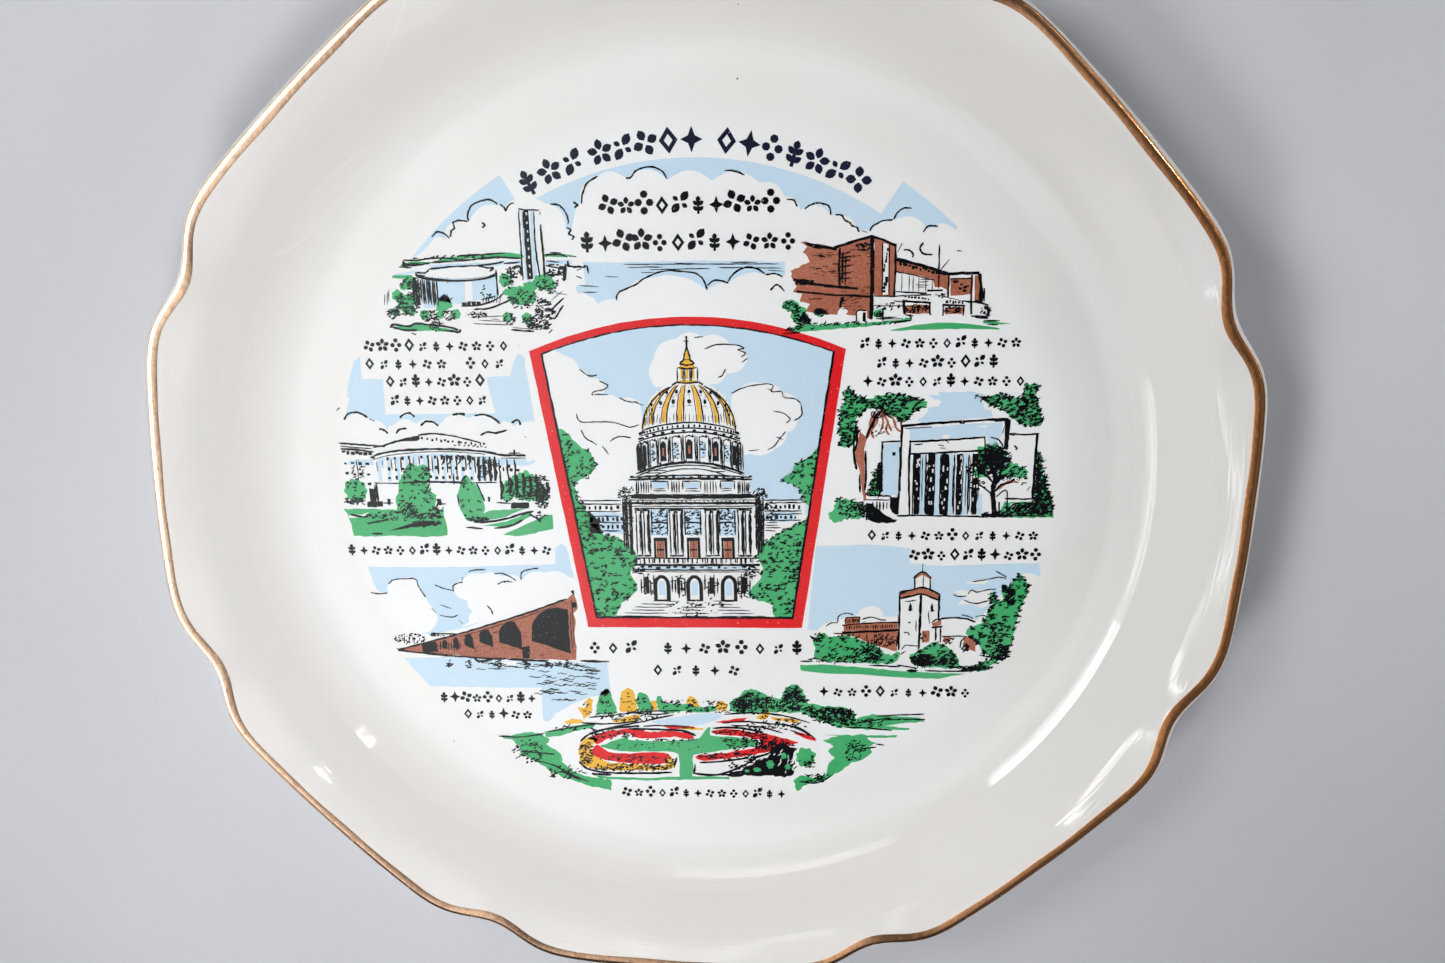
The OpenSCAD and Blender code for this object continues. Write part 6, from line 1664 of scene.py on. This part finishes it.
    pens(ink, [[(49, -48.2), (52.4, -48.8), (54, -49.2)], [(42, -48.3), (49.6, -48.7)], [(56, -49.8),
        (62, -49.9), (68, -49.7)], [(24.6, -47.4), (28, -47.3)], [(69.4, -45.4), (72.4, -45.9)]], 0.34)


# ---- Bottom picture: garden beds round a lawn ----
def draw_garden():
    ink, green, red, gold = "garden_lines", "garden_greens", "garden_red_beds", "garden_yellow_beds"
    pool = smooth([(-14, -64.8), (-8, -63.4), (-2, -62.4), (3, -62.2), (4.4, -63.2), (1, -64.8), (-3, -65.8),
        (-10, -65.4)], 3, True)
    lay_rough("river_water", pool, 0.12, 1.4)
    # shrubs at the back
    for outline in ([(-36.4, -64.9), (-34.4, -64.1), (-32, -64.2), (-31.4, -65), (-35.6, -65.6)],
            [(-32.6, -60.6), (-30.8, -61), (-30.4, -59), (-29.6, -58), (-28.6, -58.4), (-28.9, -60.6),
            (-29.6, -63), (-31.4, -64.2), (-31.8, -62.6)], [(-21.2, -56), (-19.6, -55.2), (-18.2, -56),
            (-17.4, -59), (-17.2, -61.8), (-21.8, -62), (-21.8, -58.6)], [(-13.4, -58.6), (-12.2, -58.8),
            (-12.2, -61.2), (-13.6, -61.2)], [(-4.6, -59), (-3.6, -57.2), (-2.2, -58), (-0.8, -60.6),
            (-3.6, -60.6)], [(3, -59.6), (4.6, -58.6), (6, -59.6), (5.8, -61.2), (3.4, -61.4)],
            [(-24, -64.4), (-20, -63.2), (-17, -62.6), (-16.6, -63.8), (-19.4, -64.9), (-23.4, -65.1)],
            [(13.2, -63.4), (14.6, -62.2), (16, -60.6), (16.8, -61.4), (16.2, -63.4), (14.4, -64)],
            [(17, -63.2), (21, -63.2), (24.6, -64), (23.4, -64.7), (18, -63.9)]):
        lay_rough(gold, outline, 0.2, 0.9)
    for outline, count in (([(-28, -62.4), (-27.4, -59), (-26.4, -56.4), (-25.2, -55.1), (-24, -56.8),
            (-23, -60), (-22.8, -62.2)], 6), ([(-17.4, -57.2), (-15.4, -56.6), (-14.2, -58.4),
            (-13.4, -61.4), (-17, -61.6)], 6), ([(-12, -57.6), (-11, -57.4), (-10.4, -59.4), (-4.4, -59.4),
            (-1.4, -60.4), (2.6, -60), (2.8, -61.6), (-5, -61.8), (-11.6, -61.8)], 22),
            ([(6.6, -59), (8.4, -57.8), (10, -56), (12, -55.2), (14.4, -56), (16.8, -57.4), (19.6, -58),
            (20.6, -61.2), (12, -61.9), (7, -61.6)], 60), ([(19.6, -57.4), (21, -54.8), (23, -53.8),
            (25.2, -55.4), (26.2, -58.4), (26.8, -61), (20, -61.8)], 60), ([(25, -59.4), (31, -59.8),
            (36.4, -60.2), (38.6, -62), (38, -65), (34, -65.8), (29, -63.6), (25.4, -62)], 60)):
        grove(green, ink, outline, count, 1.0)
    for patch in ((12, -58.8, 4.4, 2.6, 60, 1.1, 0.2), (22.8, -58, 2.8, 3.2, 70, 1.1, 0.2), (32.6, -62.4, 6,
            2.4, 130, 1.2, 0.1), (9, -59.4, 1.4, 2, 26, 1.2, 0)):
        leaves(ink, *patch)
    strokes(ink, 7.2, 19, -61.6, -57.4, 9, 0.34, 0.4, 1.6)
    for x, y, rx, ry, count in ((-19.6, -58.8, 1.8, 3, 10), (-30.4, -61, 1, 2, 7), (4.6, -60, 1.2, 1, 8),
            (-3, -59, 1.4, 1.4, 7), (-20.4, -64, 3.4, 0.7, 12), (15.2, -62.4, 1.4, 1.2, 8), (21, -63.9, 3,
            0.4, 10), (-26, -62.8, 2.4, 0.8, 14), (-8, -58.8, 3.4, 0.6, 12), (-16, -61.8, 3, 0.8, 14),
            (2, -59.2, 2.4, 0.6, 10), (8, -61.6, 6, 0.5, 16)):
        leaves(ink, x, y, rx, ry, count, 0.8, 0)
    pens(ink, [[(-30, -63.6), (-26, -63.2), (-22, -62.6), (-17, -62), (-12, -61.6), (-6, -61.4)],
        [(-32, -65.2), (-27, -65.4), (-22, -65.2), (-17, -64.4)], [(-24, -66.2), (-17, -64.9), (-12, -63.6),
        (-8, -62.7)], [(-20, -61.9), (-14, -62.6), (-9, -62.2)], [(5, -62.4), (12, -61.9), (20, -62.6),
        (27, -64.6)], [(4.4, -64.9), (10, -64.4), (16, -64.9), (24, -66), (28.6, -69.4)], [(7, -65.6),
        (14, -65.9), (20, -67.6)], [(-16, -66), (-12, -65.8), (-4, -65.9)], [(20, -64.8), (25, -66.9),
        (27, -68.4)], [(22, -66.8), (25.6, -68.2)]], 0.34)
    leaves(ink, 18, -65.6, 8, 1.4, 34, 1.0, 0)
    leaves(ink, -20, -63.2, 8, 1.2, 30, 1.0, 0)
    # beds
    lay_soft(gold, [(-32.6, -71.4), (-33.2, -74), (-32.6, -77), (-30, -78.4), (-24, -79), (-17, -78.9),
        (-11, -78.7), (-8.4, -77.6), (-8.6, -75.4), (-9.6, -74.4), (-11, -77.2), (-19, -77), (-26, -76.4),
        (-29.4, -74.2), (-29.8, -72), (-28, -70), (-30.6, -69.4)], 0.2, 1.2)
    lay_soft(red, [(-29.6, -74.2), (-27, -75.8), (-20, -76.8), (-12, -77), (-9.8, -75.6), (-9.8, -73.8),
        (-15, -73.6), (-21, -74), (-25.4, -73.4), (-28, -71.6), (-29.4, -72.6)], 0.16, 1.2)
    lay_soft(red, [(-30.6, -69.8), (-28, -68.4), (-24, -67.4), (-20, -66.8), (-16, -66.8), (-16.4, -67.6),
        (-20.4, -68.2), (-24.4, -69.4), (-27, -70.6), (-28.4, -71.2), (-29.2, -70)], 0.16, 1.1)
    lay_soft(red, [(-19.4, -67.2), (-14, -67.6), (-9, -67.4), (-5, -67.8), (-2.8, -69), (-4, -69.6),
        (-8, -69), (-12, -69.4), (-17, -69.6), (-19.2, -68.6)], 0.16, 1.1)
    lay_soft(red, [(2, -67), (7, -66.6), (12, -67.4), (18, -68.4), (22.4, -69.8), (24, -70.5), (21, -71.6),
        (17, -73), (12, -74), (6, -75), (1, -75.8), (-2, -75.4), (-2.4, -74.4), (2, -73.9), (8, -73),
        (12.6, -72), (14.6, -70.6), (13.4, -69.4), (9, -68.6), (2.6, -68)], 0.16, 1.2)
    lay(red, rough([(-11, -65.9), (-7, -66), (-2.6, -66), (-2.8, -66.6), (-9, -66.7)], 0.1, 0.9),
        rough([(2.6, -64.6), (5, -64.2), (9, -63.5), (11, -63.4), (10, -64.4), (5, -65)], 0.1, 0.9),
        rough([(22.8, -67.6), (26, -69.2), (28.6, -69.8), (28.2, -69), (25, -67.6)], 0.1, 0.9))
    lay_rough(gold, [(-6.6, -66.2), (-0.6, -66.4), (-0.4, -66.9), (-6, -66.9)], 0.1, 0.9)
    # lawn between the beds, with its path
    lay_rough(green, smooth([(-27.2, -72), (-26, -71.2), (-23, -70), (-20, -69.2), (-20, -69.9),
        (-14, -70.3), (-7, -70), (-2.6, -69.7), (-0.8, -68.4), (0.6, -66.4), (1.6, -66.4), (1.4, -68.4),
        (8, -69), (12.4, -69.8), (13.9, -70.6), (12, -71.6), (7, -72.4), (1, -73.4), (-3.2, -74.2),
        (-3.4, -77), (-3.6, -80.4), (-7, -80.5), (-6.8, -77), (-7.2, -74), (-9.6, -73.3), (-16, -73.2),
        (-22, -73.4)], 2, True), 0.12, 1.4)
    keep_off(green, rough(smooth([(-19.4, -66.9), (-9, -67.2), (-2.4, -68.4), (-4, -69.8), (-12, -69.6),
        (-19.4, -69)], 3, True), 0.1))
    lay_rough(green, [(-29, -80.6), (-16, -81.2), (-8, -80.6), (-4, -80.4), (6, -80.6), (6, -81.2),
        (-4, -81.4), (-16, -81.8), (-28, -81.4)], 0.12, 1.6)
    for patch in ((-12, -71.8, 12, 1.2, 12, 0.7, 0), (-31.2, -74, 1.9, 3.6, 64, 0.85, 0), (-20, -78, 11, 1.2,
            110, 0.85, 0), (-9.4, -76.2, 1.2, 1.8, 18, 0.8, 0), (-24, -68.4, 6, 1.2, 44, 0.85, 0),
            (-19, -75.4, 9, 1.0, 46, 0.7, 0), (12, -70, 10, 3, 110, 1.0, 0.2), (6, -74.4, 8, 0.9, 56, 0.95,
            0), (-10, -69.9, 8, 0.4, 22, 0.8, 0), (19, -71.6, 4.4, 1.6, 70, 1.1, 0), (8, -67.6, 6, 0.7, 40,
            0.9, 0)):
        leaves(ink, *patch)
    pens(ink, [[(-32.6, -70.6), (-30.4, -68.6), (-26, -67), (-20, -66.2), (-17, -66)], [(-33.2, -76.4),
        (-31, -78.6), (-26, -79.6), (-17, -79.7), (-9, -79.4)], [(-19.6, -66.8), (-12, -66.9), (-6, -67.2),
        (-2.4, -68.6)], [(-1.6, -76.4), (4, -76), (9, -75.2), (14, -74.4), (18, -72.8)], [(-2.8, -76.8),
        (-3.2, -79.8)], [(-3, -79.6), (2, -80), (6, -79), (10, -77), (13, -75)], [(14.2, -69.4),
        (14.8, -70.8), (13, -72.2)], [(-30, -80), (-28, -80.2), (-25, -80.2)], [(2, -66.4), (8, -66.2),
        (15, -67.4)], [(-8.4, -78), (-7.6, -75)]], 0.5)
    # dark planting at the near right
    lay_rough(ink, [(17.6, -71.6), (20.4, -71), (23.6, -72), (22.4, -74), (21.8, -77), (23, -79.6),
        (20, -80.4), (15, -80), (11, -80.2), (4, -80.2), (9, -78.6), (12.4, -76), (16, -74.6)], 0.4, 0.9)
    for x, y, rx, ry in ((25.8, -74.6, 2.9, 2.9), (17, -77, 1.7, 2.2), (13.6, -78.6, 1.7, 1.2), (20.6, -74.4,
            1.1, 1.6), (11, -79, 1.2, 0.8), (21.6, -77.6, 1.2, 1.4)):
        lay(green, blob(x, y, rx, ry, 8, 0.25))
        keep_off(ink, blob(x - 0.3, y + 0.3, rx * 0.66, ry * 0.66, 7, 0.3))
    leaves(ink, 26.4, -75.6, 2.6, 2.2, 30, 1.0, 0.3)
    leaves(ink, 15, -77.4, 9, 2.4, 60, 1.1, 0)
    for _ in range(16):
        x, y = rng.uniform(11, 22), rng.uniform(-79.6, -73)
        keep_off(ink, petal_at(x, y, rng.uniform(0.8, 1.6), 0.16, rng.uniform(0.6, 1.6)))
    # lawns at both sides
    lay_rough(green, [(-54.4, -69.2), (-50, -68.9), (-46, -67.9), (-43, -68.3), (-40.6, -69.8),
        (-41.4, -71.6), (-38.4, -73.8), (-37.6, -76.6), (-35, -79.4), (-31, -80.8), (-25, -81.9),
        (-24.9, -84.8), (-30, -83.9), (-36, -81.6), (-41, -79.6), (-44, -76.8), (-48.4, -74.4), (-49, -72),
        (-50.4, -70.2)], 0.28, 1.1)
    lay_rough(green, [(-41.8, -67.9), (-36, -66.6), (-31, -65.6), (-27.6, -65.2), (-29.6, -66.6),
        (-34, -67.6), (-38, -69), (-41.6, -69.4)], 0.14, 1.2)
    lay_rough(green, [(30.4, -69.6), (34.6, -68), (38, -68.1), (41.4, -67.8), (42, -69.4), (44.4, -70),
        (42, -71.4), (43.2, -73), (41, -74.8), (37, -76.6), (33.6, -79.4), (31, -81), (26, -82.4),
        (23.6, -84.5), (22.8, -81.6), (24.4, -80), (28, -80.4), (31, -79.6), (32, -76.4), (33.6, -74.4),
        (31.6, -72.8), (33, -71.2)], 0.28, 1.1)
    lay_rough(green, [(30.6, -67.9), (36, -68.2), (44, -68.1), (49.6, -68), (49, -68.6), (38, -68.8)], 0.1,
        1.4)
    lay_rough(green, [(38, -63.6), (43, -62), (49, -62.6), (55, -62.9), (56.4, -63.9), (50, -64.8),
        (46, -65.4), (52.6, -65.8), (52, -66.5), (44, -66.6), (38, -66.2), (36, -65.6)], 0.2, 1.3)
    for patch in ((-46.4, -73.6, 4, 3.4, 40, 1.1, 0), (-37, -79.6, 5, 2, 34, 1.1, 0), (38.4, -72.4, 3, 3, 30,
            1.1, 0), (29, -80.6, 4, 1.4, 24, 1.1, 0), (42, -64.6, 5, 1.2, 26, 1.0, 0), (-33, -66.8, 6, 0.8,
            20, 0.9, 0)):
        leaves(ink, *patch)
    pens(ink, [[(-54, -69.2), (-48, -69.4), (-42, -68.4)], [(-48.6, -73.6), (-43, -74), (-39.6, -74.4)],
        [(-45, -76.2), (-40, -77.6), (-36, -80), (-31, -82.4)], [(-41, -67.8), (-34, -66.4), (-28, -65.4)],
        [(-38, -79.4), (-33, -82)], [(44, -62.6), (50, -62.2), (56, -61.9)], [(46, -63.6), (52, -63.4),
        (56.4, -63.4)], [(38, -64.8), (44, -63.6), (48, -63)], [(44, -70.6), (46, -70.8)], [(40, -72),
        (44, -71.4)], [(24.4, -81.6), (29, -82), (33, -79.6)], [(36, -65.8), (42, -66), (48, -66.6)]], 0.34)


def petal_at(x, y, reach, wide, turn):
    return [(x + px, y + py) for px, py in petal(turn, reach, wide)]


add_camera()
add_studio()
add_floor()
add_body()
add_gold()

INKS = {
    "ink_navy": ink_paint("navy_enamel", rgb(22, 24, 44), rgb(40, 44, 70), 0.3),
    "ink_black": ink_paint("black_enamel", rgb(4, 5, 9), rgb(22, 24, 30), 0.25),
    "ink_blue": ink_paint("blue_enamel", rgb(196, 222, 242), rgb(208, 229, 243), 0.3),
    "ink_green": ink_paint("green_enamel", rgb(58, 170, 102), rgb(110, 192, 144), 0.25),
    "ink_red": ink_paint("red_enamel", rgb(224, 24, 34), rgb(228, 66, 62), 0.2),
    "ink_brown": ink_paint("brown_enamel", rgb(158, 88, 64), rgb(196, 132, 110), 0.6),
    "ink_yellow": ink_paint("yellow_enamel", rgb(238, 180, 50), rgb(244, 200, 96), 0.25),
}
for draw in (draw_lettering_ornaments, draw_crown, draw_panel, draw_dome, draw_drum, draw_portico,
        draw_drum_hall, draw_brick_hall, draw_crescent_hall, draw_portico_hall, draw_bridge, draw_tower_hall,
        draw_garden):
    draw()
for sub in frame["record"]["subparts"]:
    ink_slot = sub["material_slot"]
    if ink_slot in INKS:
        film(sub["node"], ink_slot, 0.065 if ink_slot in ("ink_black", "ink_navy") else 0.045)
